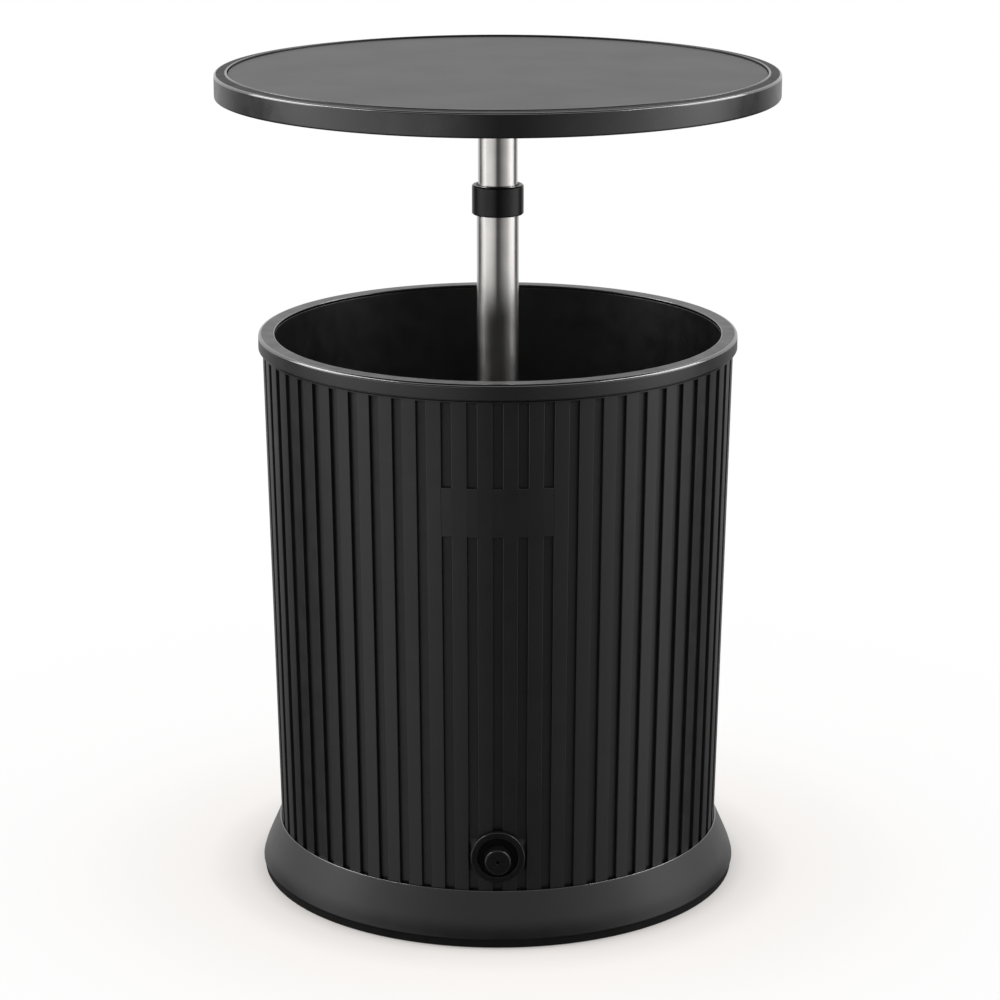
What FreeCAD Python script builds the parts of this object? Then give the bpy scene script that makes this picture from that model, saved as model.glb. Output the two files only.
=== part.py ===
"""Round patio cooler table: a fluted insulated tub, a telescoping steel column and a table that is its lid.

Millimetres, +Z up. The origin is on the floor, on the axis of the tub, and the drain faces -Y.
The parts are modelled with the table raised, as it stands in use, when the tub is open.
"""
import FreeCAD, Part
import math
import operator
import os
import Sketcher

# Driving dimensions. Heights are above the floor unless the name says otherwise.
SIZES = {
    # table, which is also the lid
    "table_radius": 283.0,
    "table_edge": 25.0,
    "table_wall": 3.0,
    "table_plate": 3.5,
    "table_edge_round": 1.5,
    "lip_width": 13.3,
    "lip_height": 4.0,
    "lip_round": 0.8,
    "inlay_plate": 2.0,
    "table_rib_depth": 8.5,
    "table_rib": 2.5,
    "table_rib_count": 12,
    "inner_ring_radius": 120.0,
    "outer_ring_radius": 175.0,
    "seal_height": 7.0,
    "seal_width": 6.0,
    "seal_channel": 4.0,
    "seal_backing": 6.2,
    "seal_channel_wall": 2.5,
    "locating_play": 3.0,
    "locating_depth": 8.0,
    # rim that joins the two walls of the tub
    "rim_top": 574.0,
    "rim_overhang": 4.0,
    "rim_flat": 16.5,
    "rim_plate": 3.0,
    "rim_band": 15.0,
    "rim_round": 1.2,
    # fluted outer shell
    "shell_top_radius": 240.0,
    "shell_draft": 11.0,
    "shell_wall": 5.5,
    "flute_count": 60,
    "flute_angle": 2.4,
    "flute_depth": 3.5,
    "flute_margin": 4.5,
    "flute_foot": 6.0,
    "panel_drop": 98.0,
    "panel_height": 49.0,
    "panel_flutes": 5,
    # liner and insulation
    "liner_wall": 3.0,
    "liner_floor": 72.0,
    "liner_inset": 23.0,
    "liner_corner": 10.0,
    "liner_flange": 10.5,
    "foam_drop": 12.0,
    "floor_boss_radius": 6.0,
    "floor_boss": 12.0,
    # base
    "skirt_top": 54.0,
    "skirt_lip": 1.5,
    "skirt_knee_flare": 16.8,
    "skirt_knee": 20.0,
    "skirt_foot_flare": 20.5,
    "skirt_foot_round": 1.5,
    "skirt_wall": 3.0,
    "ledge_top": 40.0,
    "ledge_plate": 4.0,
    "ledge_inset": 21.0,
    "pan_plate": 3.0,
    "pan_overlap": 9.0,
    "pan_rib": 2.5,
    "pan_rib_depth": 12.0,
    "pan_rib_count": 12,
    "pan_ring_radius": 120.0,
    "pan_hub_radius": 20.0,
    "foot_height": 9.0,
    "foot_step": 2.5,
    "foot_width": 11.0,
    "foot_round": 1.5,
    # drain
    "drain_rise": 19.0,
    "drain_seat_inset": 0.6,
    "drain_seat_depth": 4.5,
    "drain_bezel_radius": 27.0,
    "drain_bezel": 4.5,
    "drain_bezel_round": 1.2,
    "drain_recess_radius": 20.4,
    "drain_recess": 3.0,
    "drain_tube_radius": 11.0,
    "drain_bore_radius": 7.0,
    "drain_washer": 1.5,
    "drain_washer_radius": 15.0,
    "drain_boss_rise": 2.4,
    "drain_nut": 8.0,
    "drain_nut_radius": 14.0,
    "drain_tube_end": 3.0,
    "plug_radius": 13.3,
    "plug_height": 13.0,
    "plug_round": 1.5,
    "plug_dimple_radius": 2.5,
    "plug_dimple": 1.0,
    "plug_stem_radius": 6.5,
    "plug_stem": 26.0,
    "plug_ring_place": 16.0,
    "plug_ring_width": 2.4,
    "plug_ring_depth": 1.2,
    # column
    "lower_travel": 180.0,
    "upper_travel": 65.0,
    "travel_spare": 1.0,
    "lower_grip": 109.0,
    "upper_grip": 74.0,
    "collar_drop": 30.0,
    "socket_flange_radius": 60.0,
    "socket_flange": 6.0,
    "socket_gasket": 2.0,
    "socket_wall": 4.0,
    "socket_floor": 4.0,
    "socket_neck": 12.0,
    "socket_neck_wall": 2.5,
    "gusset_foot": 28.0,
    "gusset_rise": 45.0,
    "gusset_plate": 4.0,
    "gusset_count": 6,
    "socket_screw_circle": 50.0,
    "socket_screw": 18.0,
    "lower_tube_radius": 21.25,
    "lower_tube_wall": 1.0,
    "upper_tube_radius": 20.0,
    "upper_tube_wall": 1.2,
    "glide_wall": 2.0,
    "glide_sleeve": 40.0,
    "glide_lip": 4.0,
    "spigot": 20.0,
    "spigot_wall": 3.5,
    "lower_collar_radius": 33.0,
    "lower_collar_cap": 4.0,
    "grip_count": 12,
    "grip_radius": 5.0,
    "grip_depth": 1.5,
    "upper_collar_radius": 26.2,
    "upper_collar_height": 30.0,
    "upper_collar_wall": 2.4,
    "upper_collar_chamfer": 1.2,
    "funnel_width": 2.0,
    "funnel_depth": 4.0,
    "sleeve_recess": 3.0,
    "sleeve_grip": 6.0,
    "sleeve_shoulder": 5.0,
    "collet_height": 8.0,
    "collet_taper": 1.5,
    "collet_slit": 2.0,
    "collet_slit_count": 4,
    "collet_base": 2.0,
    # hub under the table
    "hub_flange_radius": 62.0,
    "hub_flange": 6.0,
    "hub_radius": 27.0,
    "hub_web": 3.0,
    "hub_gusset_rise": 18.0,
    "hub_screw_circle": 50.0,
    "hub_screw": 13.0,
    "hub_boss_radius": 6.0,
    "hub_bolt_rise": 14.0,
    "hub_bolt_radius": 3.0,
    "hub_bolt_head": 4.0,
    "hub_bolt_head_radius": 5.5,
    "hub_nut": 5.0,
    "bolt_spare": 1.0,
    # screws and fits
    "base_screw_count": 8,
    "base_screw": 6.5,
    "screw_radius": 2.0,
    "screw_head_radius": 4.2,
    "screw_head": 2.6,
    "hole_play": 0.25,
    "fit_gap": 0.3,
    "slide_gap": 0.1,
    "press_gap": 0.05,
    "cut_spare": 1.0,
}

OPERATIONS = {"+": operator.add, "-": operator.sub, "*": operator.mul, "/": operator.truediv}


class Size:
    """A number together with the sheet formula it comes from, so that sums of sizes stay live."""

    def __init__(self, number, formula=None):
        self.number = float(number)
        self.formula = formula or repr(float(number))

    def __add__(self, other):
        return combine(self, "+", other)

    def __sub__(self, other):
        return combine(self, "-", other)

    def __mul__(self, other):
        return combine(self, "*", other)

    def __truediv__(self, other):
        return combine(self, "/", other)

    def __neg__(self):
        return combine(ZERO, "-", self)


ZERO = Size(0)


def combine(left, sign, right):
    """The result of one sum, with its number and its formula."""
    right = right if isinstance(right, Size) else Size(right)
    number = OPERATIONS[sign](left.number, right.number)
    return Size(number, f"({left.formula} {sign} {right.formula})")


def trig(name, degrees):
    """sin, cos or tan of an angle in degrees."""
    number = getattr(math, name)(math.radians(degrees.number))
    return Size(number, f"{name}({degrees.formula} * 1 deg)")


def polar(radius, degrees):
    """The point at a radius and an angle, counted from +X."""
    return radius * trig("cos", degrees), radius * trig("sin", degrees)


def make_sheet(document):
    """The spreadsheet with one named cell for each driving dimension."""
    sheet = document.addObject("Spreadsheet::Sheet", "Sizes")
    for row, (alias, value) in enumerate(SIZES.items(), 1):
        sheet.set(f"A{row}", alias)
        sheet.set(f"B{row}", str(value))
        sheet.setAlias(f"B{row}", alias)
    document.recompute()
    return sheet


doc = FreeCAD.newDocument("CoolerTable")
size_sheet = make_sheet(doc)


class SheetSizes:
    """Gives each named cell of the sheet as a Size."""

    def __getattr__(self, alias):
        return Size(getattr(size_sheet, alias), f"Sizes.{alias}")


size = SheetSizes()


# Features of one body

def new_body(name):
    body = doc.addObject("PartDesign::Body", name)
    body.Label = name
    return body


def origin_part(body, role):
    return next(part for part in body.Origin.OriginFeatures if part.Role == role)


def bind(target, setting, value):
    target.setExpression(setting, value.formula)


def new_sketch(body, name, role, offset=None):
    """A sketch on one of the body's own planes, or parallel to it at an offset along its normal."""
    sketch = body.newObject("Sketcher::SketchObject", name)
    sketch.AttachmentSupport = [(origin_part(body, role), "")]
    sketch.MapMode = "FlatFace"
    if offset is not None:
        bind(sketch, "AttachmentOffset.Base.z", offset)
    return sketch


def pin(sketch, item, end, x, y):
    """Tie a point of the sketch to its place, measured from the sketch's origin."""
    for kind, axis, value in (("DistanceX", -2, x), ("DistanceY", -1, y)):
        if value.number == 0:
            sketch.addConstraint(Sketcher.Constraint("PointOnObject", item, end, axis))
        else:
            index = sketch.addConstraint(Sketcher.Constraint(kind, item, end, value.number))
            bind(sketch, f"Constraints[{index}]", value)


def vector(x, y):
    return FreeCAD.Vector(x.number, y.number, 0)


def outline(sketch, corners):
    """A closed outline of straight sides through the corners."""
    first = sketch.GeometryCount
    count = len(corners)
    for index, corner in enumerate(corners):
        following = corners[(index + 1) % count]
        sketch.addGeometry(Part.LineSegment(vector(*corner), vector(*following)))
    for index in range(count):
        following = first + (index + 1) % count
        sketch.addConstraint(Sketcher.Constraint("Coincident", first + index, 2, following, 1))
    for index, corner in enumerate(corners):
        pin(sketch, first + index, 1, *corner)


def circle(sketch, x, y, radius):
    item = sketch.addGeometry(Part.Circle(vector(x, y), FreeCAD.Vector(0, 0, 1), radius.number))
    pin(sketch, item, 3, x, y)
    index = sketch.addConstraint(Sketcher.Constraint("Radius", item, radius.number))
    bind(sketch, f"Constraints[{index}]", radius)


def box_corners(x_low, x_high, y_low, y_high):
    return [(x_low, y_low), (x_high, y_low), (x_high, y_high), (x_low, y_high)]


def revolve(body, name, corners, kind="Revolution"):
    """Turn an outline of (radius, height) corners round the upright axis."""
    sketch = new_sketch(body, name + "_outline", "XZ_Plane")
    outline(sketch, corners)
    feature = body.newObject("PartDesign::" + kind, name)
    feature.Profile = sketch
    feature.ReferenceAxis = (sketch, ["V_Axis"])
    feature.Angle = 360
    return feature


def ring(body, name, inner, outer, low, high, kind="Revolution"):
    return revolve(body, name, box_corners(inner, outer, low, high), kind)


def turn(body, name, role, corners, axis_start, axis_end):
    """Turn an outline round an axis line of its own, drawn in the same sketch."""
    sketch = new_sketch(body, name + "_outline", role)
    outline(sketch, corners)
    axis = sketch.addGeometry(Part.LineSegment(vector(*axis_start), vector(*axis_end)), True)
    pin(sketch, axis, 1, *axis_start)
    pin(sketch, axis, 2, *axis_end)
    feature = body.newObject("PartDesign::Revolution", name)
    feature.Profile = sketch
    feature.ReferenceAxis = (sketch, ["Axis0"])
    feature.Angle = 360
    return feature


def extrude(body, kind, sketch, name, length, back=False, middle=False):
    """A Pad or Pocket of a sketch; back turns it round and middle centres it on the sketch."""
    feature = body.newObject("PartDesign::" + kind, name)
    feature.Profile = sketch
    bind(feature, "Length", length)
    feature.Reversed = back
    feature.Midplane = middle
    return feature


def pattern(body, features, name, count):
    """Copies of features round the upright axis."""
    copies = body.newObject("PartDesign::PolarPattern", name)
    copies.Originals = features
    copies.Axis = (origin_part(body, "Z_Axis"), [""])
    copies.Angle = 360
    bind(copies, "Occurrences", count)
    body.Tip = copies
    return copies


def round_edges(shape, places):
    """Names of the level round edges that lie at the given (radius, height) places."""
    names = []
    for index, edge in enumerate(shape.Edges, 1):
        if not isinstance(edge.Curve, Part.Circle):
            continue
        for radius, height in places:
            same_radius = abs(edge.Curve.Radius - radius.number) < 0.001
            if same_radius and abs(edge.Curve.Center.z - height.number) < 0.001:
                names.append(f"Edge{index}")
    return names


def soften(body, base, name, places, value, kind="Fillet"):
    """Fillet or chamfer the round edges at (radius, height) places."""
    base.recompute(True)
    feature = body.newObject("PartDesign::" + kind, name)
    feature.Base = (base, round_edges(base.Shape, places))
    bind(feature, "Radius" if kind == "Fillet" else "Size", value)
    body.Tip = feature
    return feature


def drill(body, name, role, offset, x, y, radius, depth, back=False):
    sketch = new_sketch(body, name + "_circle", role, offset)
    circle(sketch, x, y, radius)
    return extrude(body, "Pocket", sketch, name, depth, back)


def web(body, name, corners, thickness, count):
    """Upright webs round the axis, from one outline of (radius, height) corners."""
    sketch = new_sketch(body, name + "_outline", "XZ_Plane")
    outline(sketch, corners)
    first = extrude(body, "Pad", sketch, name, thickness, middle=True)
    return pattern(body, [first], name + "_pattern", count)


# Places that several parts share

def along(low, low_radius, high, high_radius, height):
    """Radius of a straight tapered wall at a height."""
    return low_radius + (height - low) * (high_radius - low_radius) / (high - low)


flange_top = size.rim_top - size.rim_plate
shell_top = flange_top - size.liner_wall
rim_radius = size.shell_top_radius + size.rim_overhang
rim_inner = rim_radius - size.rim_flat
shell_low_radius = size.shell_top_radius - size.shell_draft
liner_low_radius = shell_low_radius - size.liner_inset
ledge_radius = shell_low_radius - size.ledge_inset
skirt_knee_radius = shell_low_radius + size.skirt_knee_flare
skirt_foot_radius = shell_low_radius + size.skirt_foot_flare
foot_radius = skirt_foot_radius - size.foot_step
drain_height = size.liner_floor + size.drain_rise
panel_high = shell_top - size.panel_drop
panel_low = panel_high - size.panel_height


def shell_radius(height):
    """Outer radius of the shell's ribs."""
    return along(size.skirt_top, shell_low_radius, shell_top, size.shell_top_radius, height)


def liner_radius(height):
    """Inner radius of the liner."""
    return along(size.liner_floor, liner_low_radius, flange_top, rim_inner, height)


pan_top = size.ledge_top - size.ledge_plate
pan_low = pan_top - size.pan_plate
pan_radius = ledge_radius + size.pan_overlap
base_screw_circle = ledge_radius + size.pan_overlap / 2

drain_seat = shell_radius(drain_height) - size.drain_seat_inset
bezel_back = drain_seat + size.drain_washer
bezel_face = bezel_back + size.drain_bezel
recess_face = bezel_face - size.drain_recess
liner_boss_face = liner_radius(drain_height) - size.drain_boss_rise
nut_face = liner_boss_face - size.drain_washer
tube_end = nut_face - size.drain_nut - size.drain_tube_end

seal_low = size.rim_top + size.lower_travel + size.upper_travel + size.fit_gap
seal_top = seal_low + size.seal_height
plate_low = seal_top + size.seal_backing
plate_top = plate_low + size.table_plate
table_top = plate_top + size.lip_height
rib_low = plate_low - size.table_rib_depth
edge_low = table_top - size.table_edge
lip_inner = size.table_radius - size.lip_width
seal_middle = rim_inner + size.rim_flat / 2
locating_radius = rim_inner - size.locating_play

gasket_top = size.liner_floor + size.socket_gasket
flange_face = gasket_top + size.socket_flange
bore_floor = gasket_top + size.socket_floor
socket_bore = size.lower_tube_radius + size.press_gap + size.glide_wall + size.slide_gap
socket_radius = socket_bore + size.socket_wall
neck_radius = socket_bore + size.socket_neck_wall
lower_tube_low = bore_floor + size.travel_spare + size.lower_travel + size.glide_lip
socket_top = lower_tube_low + size.lower_grip
neck_top = socket_top + size.socket_neck
lower_tube_bore = size.lower_tube_radius - size.lower_tube_wall
collar_top = size.rim_top + size.lower_travel - size.collar_drop
upper_collar_low = collar_top - size.upper_collar_height
upper_tube_low = collar_top - size.upper_grip
lower_tube_top = upper_collar_low + size.sleeve_recess + size.sleeve_grip
sleeve_top = lower_tube_top + size.sleeve_shoulder
upper_cavity = size.upper_collar_radius - size.upper_collar_wall

hub_low = collar_top + size.upper_travel + size.travel_spare
hub_flange_low = rib_low - size.hub_flange
hub_bore = size.upper_tube_radius + size.slide_gap
upper_tube_top = rib_low - size.hub_web
bolt_height = hub_low + size.hub_bolt_rise
half_screw_turn = Size(180) / size.gusset_count
half_base_turn = Size(180) / size.base_screw_count


# Tub

def make_outer_shell():
    """Tapered wall with upright flutes, a bare panel at the front and a flat seat for the drain."""
    body = new_body("outer_shell")
    low, high = size.ledge_top, shell_top
    revolve(body, "shell_wall", [
        (shell_radius(low) - size.shell_wall, low),
        (shell_radius(low), low),
        (shell_radius(high), high),
        (shell_radius(high) - size.shell_wall, high),
    ])
    cut_flutes(body)
    add_panel(body)
    add_drain_seat(body)


def cut_flutes(body):
    """One flute lofted up the wall, as wide as its angle at each height, then copied round."""
    low = size.skirt_top - size.flute_foot
    high = size.rim_top - size.rim_band - size.flute_margin
    sections = []
    for name, height in (("flute_low", low), ("flute_high", high)):
        radius = shell_radius(height)
        half = radius * trig("tan", size.flute_angle / 2)
        sketch = new_sketch(body, name, "XY_Plane", height)
        outline(sketch, box_corners(-half, half, -(radius + size.flute_depth), size.flute_depth - radius))
        sections.append(sketch)
    flute = body.newObject("PartDesign::SubtractiveLoft", "flute")
    flute.Profile = sections[0]
    flute.Sections = sections[1:]
    flute.Ruled = True
    pattern(body, [flute], "flutes", size.flute_count)


def add_panel(body):
    """The plain front panel, level with the ribs, that interrupts the middle flutes."""
    low, high = panel_low, panel_high
    sketch = new_sketch(body, "panel_outline", "YZ_Plane")
    outline(sketch, [
        (-shell_radius(low), low),
        (size.shell_wall - shell_radius(low), low),
        (size.shell_wall - shell_radius(high), high),
        (-shell_radius(high), high),
    ])
    panel = body.newObject("PartDesign::Revolution", "panel")
    panel.Profile = sketch
    panel.ReferenceAxis = (sketch, ["V_Axis"])
    panel.Midplane = True
    bind(panel, "Angle", (size.panel_flutes - 1) * 360 / size.flute_count + size.flute_angle)


def add_drain_seat(body):
    """A flat round seat across the ribs, and the hole for the drain tube."""
    middle = (ZERO, drain_height)
    sketch = new_sketch(body, "drain_seat_circle", "XZ_Plane", drain_seat - size.drain_seat_depth)
    circle(sketch, *middle, size.drain_bezel_radius)
    extrude(body, "Pad", sketch, "drain_seat", size.drain_seat_depth)
    clear = size.drain_bezel_radius + size.fit_gap
    drill(body, "drain_seat_cut", "XZ_Plane", drain_seat, *middle, clear, size.shell_wall, back=True)
    hole = size.drain_tube_radius + size.fit_gap
    drill(body, "drain_hole", "XZ_Plane", drain_seat, *middle, hole, size.shell_wall * 2)


def make_inner_liner():
    """Inner bucket of the tub, with a top flange, a boss for the drain nut and bosses below its floor."""
    body = new_body("inner_liner")
    floor_low = size.liner_floor - size.liner_wall
    low_outer = liner_low_radius + size.liner_wall
    wall = revolve(body, "liner_wall", [
        (ZERO, floor_low),
        (low_outer, floor_low),
        (rim_inner + size.liner_wall, shell_top),
        (rim_inner + size.liner_flange, shell_top),
        (rim_inner + size.liner_flange, flange_top),
        (rim_inner, flange_top),
        (liner_low_radius, size.liner_floor),
        (ZERO, size.liner_floor),
    ])
    inside = soften(body, wall, "liner_corner", [(liner_low_radius, size.liner_floor)], size.liner_corner)
    soften(body, inside, "liner_outer_corner", [(low_outer, floor_low)], size.liner_corner + size.liner_wall)
    middle = (ZERO, drain_height)
    sketch = new_sketch(body, "drain_boss_circle", "XZ_Plane", liner_boss_face)
    circle(sketch, *middle, size.drain_washer_radius)
    extrude(body, "Pad", sketch, "drain_boss", size.drain_boss_rise + size.liner_wall / 2)
    hole = size.drain_tube_radius + size.fit_gap
    drill(body, "drain_hole", "XZ_Plane", liner_boss_face, *middle, hole, size.liner_wall * 3, back=True)
    place = polar(size.socket_screw_circle, half_screw_turn)
    sketch = new_sketch(body, "floor_boss_circle", "XY_Plane", floor_low - size.floor_boss)
    circle(sketch, *place, size.floor_boss_radius)
    boss = extrude(body, "Pad", sketch, "floor_boss", size.floor_boss)
    hole = size.screw_radius + size.hole_play
    bore = drill(body, "floor_hole", "XY_Plane", size.liner_floor, *place, hole,
                 size.floor_boss + size.liner_wall / 2)
    pattern(body, [boss, bore], "floor_bosses", size.gusset_count)


def make_rim_ring():
    """Flat rim with a band that hangs over the top of the shell."""
    body = new_body("rim_ring")
    band_inner = size.shell_top_radius + size.fit_gap
    band_low = size.rim_top - size.rim_band
    section = revolve(body, "rim_section", [
        (rim_inner, flange_top),
        (rim_inner, size.rim_top),
        (rim_radius, size.rim_top),
        (rim_radius, band_low),
        (band_inner, band_low),
        (band_inner, flange_top),
    ])
    edges = [(rim_radius, size.rim_top), (rim_radius, band_low), (rim_inner, size.rim_top)]
    soften(body, section, "rim_rounding", edges, size.rim_round)


def make_wall_foam():
    """Insulation between shell and liner."""
    body = new_body("wall_foam")
    low, high = size.ledge_top, shell_top - size.foam_drop
    inner_step = size.liner_wall + size.fit_gap
    outer_step = size.shell_wall + size.fit_gap
    revolve(body, "foam_wall", [
        (liner_radius(low) + inner_step, low),
        (shell_radius(low) - outer_step, low),
        (shell_radius(high) - outer_step, high),
        (liner_radius(high) + inner_step, high),
    ])
    hole = size.drain_tube_radius + size.fit_gap
    drill(body, "drain_hole", "XZ_Plane", liner_boss_face, ZERO, drain_height, hole,
          drain_seat - liner_boss_face, back=True)


def make_floor_foam():
    """Insulation below the liner, with room for the screw bosses."""
    body = new_body("floor_foam")
    foam_top = size.liner_floor - size.liner_wall
    ring_radius = ledge_radius - size.fit_gap
    revolve(body, "foam_disc", box_corners(ZERO, ring_radius, pan_top, foam_top))
    place = polar(size.socket_screw_circle, half_screw_turn)
    hole = drill(body, "boss_room", "XY_Plane", foam_top, *place, size.floor_boss_radius + size.fit_gap,
                 size.floor_boss + size.fit_gap)
    pattern(body, [hole], "boss_rooms", size.gusset_count)


# Base

def make_base_skirt():
    """Flared foot of the tub, with the inner ledge that the shell stands on."""
    body = new_body("base_skirt")
    top_inner = shell_radius(size.skirt_top) + size.fit_gap
    top_outer = top_inner + size.skirt_lip
    underside = along(size.skirt_knee, skirt_knee_radius, size.skirt_top, top_outer, pan_top)
    foot_inner = foot_radius - size.foot_width
    foot_flange = size.foot_height + size.skirt_wall
    section = revolve(body, "skirt_section", [
        (top_inner, size.skirt_top),
        (top_outer, size.skirt_top),
        (skirt_knee_radius, size.skirt_knee),
        (skirt_foot_radius, size.foot_height),
        (foot_inner, size.foot_height),
        (foot_inner, foot_flange),
        (skirt_knee_radius - size.skirt_wall, foot_flange),
        (skirt_knee_radius - size.skirt_wall, size.skirt_knee),
        (underside - size.skirt_wall, pan_top),
        (ledge_radius, pan_top),
        (ledge_radius, size.ledge_top),
        (top_inner, size.ledge_top),
    ])
    soften(body, section, "skirt_foot_rounding", [(skirt_foot_radius, size.foot_height)],
           size.skirt_foot_round)
    place = polar(base_screw_circle, half_base_turn)
    hole = drill(body, "base_hole", "XY_Plane", size.ledge_top, *place,
                 size.screw_radius + size.hole_play, size.ledge_plate)
    pattern(body, [hole], "base_holes", size.base_screw_count)


def make_base_pan():
    """Ribbed plate that closes the base from below."""
    body = new_body("base_pan")
    rib_foot = pan_low - size.pan_rib_depth
    ring(body, "pan_disc", ZERO, pan_radius, pan_low, pan_top)
    ring(body, "pan_hub", ZERO, size.pan_hub_radius, rib_foot, pan_low)
    middle = size.pan_ring_radius
    ring(body, "pan_middle_ring", middle, middle + size.pan_rib, rib_foot, pan_low)
    edge = ledge_radius - size.pan_overlap
    ring(body, "pan_edge_ring", edge, edge + size.pan_rib, rib_foot, pan_low)
    reach = edge + size.pan_rib / 2
    web(body, "pan_rib", box_corners(size.pan_hub_radius / 2, reach, rib_foot, pan_low),
        size.pan_rib, size.pan_rib_count)
    place = polar(base_screw_circle, half_base_turn)
    hole = drill(body, "pan_hole", "XY_Plane", pan_top, *place,
                 size.screw_radius + size.hole_play, size.pan_plate)
    pattern(body, [hole], "pan_holes", size.base_screw_count)


def make_foot_ring():
    """Dark ring that the tub stands on."""
    body = new_body("foot_ring")
    section = ring(body, "foot_section", foot_radius - size.foot_width, foot_radius,
                   ZERO, size.foot_height)
    soften(body, section, "foot_rounding", [(foot_radius, ZERO)], size.foot_round)


def make_screws(name, distance, seat, length, count, half_turn, upward):
    """Pan-head screws in a circle, seated under or on a plate."""
    body = new_body(name)
    head_end = seat - size.screw_head if upward else seat + size.screw_head
    tip = seat + length if upward else seat - length
    corners = [
        (distance, head_end),
        (distance + size.screw_head_radius, head_end),
        (distance + size.screw_head_radius, seat),
        (distance + size.screw_radius, seat),
        (distance + size.screw_radius, tip),
        (distance, tip),
    ]
    first = turn(body, name + "_first", "XZ_Plane", corners, (distance, head_end), (distance, tip))
    pattern(body, [first], name + "_pattern", count)
    bind(body, "Placement.Rotation.Angle", half_turn)


# Drain, turned round a level axis that runs out through the front wall

def drain_turning(name, corners):
    """Turn (distance from the tub's axis, radius) corners round the drain's axis."""
    body = new_body(name)
    corners = [(-distance, drain_height + radius) for distance, radius in corners]
    ends = [corners[0][0], corners[-1][0]]
    if ends[0].number == ends[1].number:
        ends[1] = corners[1][0]
    turn(body, name + "_body", "YZ_Plane", corners,
         (ends[0], drain_height), (ends[1], drain_height))
    return body


def make_drain():
    bore = size.drain_bore_radius
    tube = size.drain_tube_radius
    drain_turning("drain_spout", [
        (tube_end, bore),
        (tube_end, tube),
        (bezel_back, tube),
        (bezel_back, size.drain_bezel_radius),
        (bezel_face - size.drain_bezel_round, size.drain_bezel_radius),
        (bezel_face, size.drain_bezel_radius - size.drain_bezel_round),
        (bezel_face, size.drain_recess_radius),
        (recess_face, size.drain_recess_radius),
        (recess_face, bore),
    ])
    washer_bore = tube + size.slide_gap
    drain_turning("drain_outer_washer", [
        (drain_seat, washer_bore),
        (drain_seat, size.drain_bezel_radius - size.drain_washer),
        (bezel_back, size.drain_bezel_radius - size.drain_washer),
        (bezel_back, washer_bore),
    ])
    drain_turning("drain_inner_washer", [
        (nut_face, washer_bore),
        (nut_face, size.drain_washer_radius),
        (liner_boss_face, size.drain_washer_radius),
        (liner_boss_face, washer_bore),
    ])
    make_drain_nut(washer_bore)
    make_drain_plug()


def make_drain_nut(bore):
    """Six-sided nut that pulls the spout tight from inside the liner."""
    body = new_body("drain_nut")
    sketch = new_sketch(body, "drain_nut_outline", "XZ_Plane", nut_face - size.drain_nut)
    hexagon(sketch, ZERO, drain_height, size.drain_nut_radius)
    extrude(body, "Pad", sketch, "drain_nut_body", size.drain_nut)
    drill(body, "drain_nut_bore", "XZ_Plane", nut_face, ZERO, drain_height, bore, size.drain_nut)


def hexagon(sketch, x, y, radius):
    corners = []
    for step in range(6):
        across, up = polar(radius, Size(60 * step))
        corners.append((x + across, y + up))
    outline(sketch, corners)


def make_drain_plug():
    """Push-in plug: a round knob with a dimple, and a stem that carries the sealing ring."""
    face = bezel_face + size.plug_height
    back = recess_face + size.fit_gap
    stem_end = back - size.plug_stem
    ring_start = back - size.plug_ring_place
    ring_end = ring_start - size.plug_ring_width
    stem, knob = size.plug_stem_radius, size.plug_radius
    groove = stem - size.plug_ring_depth
    drain_turning("drain_plug", [
        (stem_end, ZERO),
        (stem_end, stem),
        (ring_end, stem),
        (ring_end, groove),
        (ring_start, groove),
        (ring_start, stem),
        (back, stem),
        (back, knob),
        (face - size.plug_round, knob),
        (face, knob - size.plug_round),
        (face, size.plug_dimple_radius),
        (face - size.plug_dimple, ZERO),
    ])
    drain_turning("drain_plug_ring", [
        (ring_end, groove),
        (ring_end, size.drain_bore_radius - size.slide_gap),
        (ring_start, size.drain_bore_radius - size.slide_gap),
        (ring_start, groove),
    ])


# Column

def make_column_socket():
    """Black tube that is screwed to the liner floor and takes the lower steel tube when it slides down."""
    body = new_body("column_socket")
    revolve(body, "socket_section", [
        (ZERO, gasket_top),
        (size.socket_flange_radius, gasket_top),
        (size.socket_flange_radius, flange_face),
        (socket_radius, flange_face),
        (socket_radius, socket_top),
        (neck_radius, socket_top),
        (neck_radius, neck_top),
        (socket_bore, neck_top),
        (socket_bore, bore_floor),
        (ZERO, bore_floor),
    ])
    root = socket_radius - size.socket_wall / 2
    web(body, "socket_gusset", [
        (root, flange_face),
        (socket_radius + size.gusset_foot, flange_face),
        (socket_radius, flange_face + size.gusset_rise),
        (root, flange_face + size.gusset_rise),
    ], size.gusset_plate, size.gusset_count)
    place = polar(size.socket_screw_circle, half_screw_turn)
    hole = drill(body, "socket_hole", "XY_Plane", flange_face, *place,
                 size.screw_radius + size.hole_play, size.socket_flange)
    pattern(body, [hole], "socket_holes", size.gusset_count)


def make_socket_gasket():
    body = new_body("socket_gasket")
    ring(body, "gasket_ring", socket_bore, size.socket_flange_radius, size.liner_floor, gasket_top)
    place = polar(size.socket_screw_circle, half_screw_turn)
    hole = drill(body, "gasket_hole", "XY_Plane", gasket_top, *place,
                 size.screw_radius + size.hole_play, size.socket_gasket)
    pattern(body, [hole], "gasket_holes", size.gusset_count)


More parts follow.
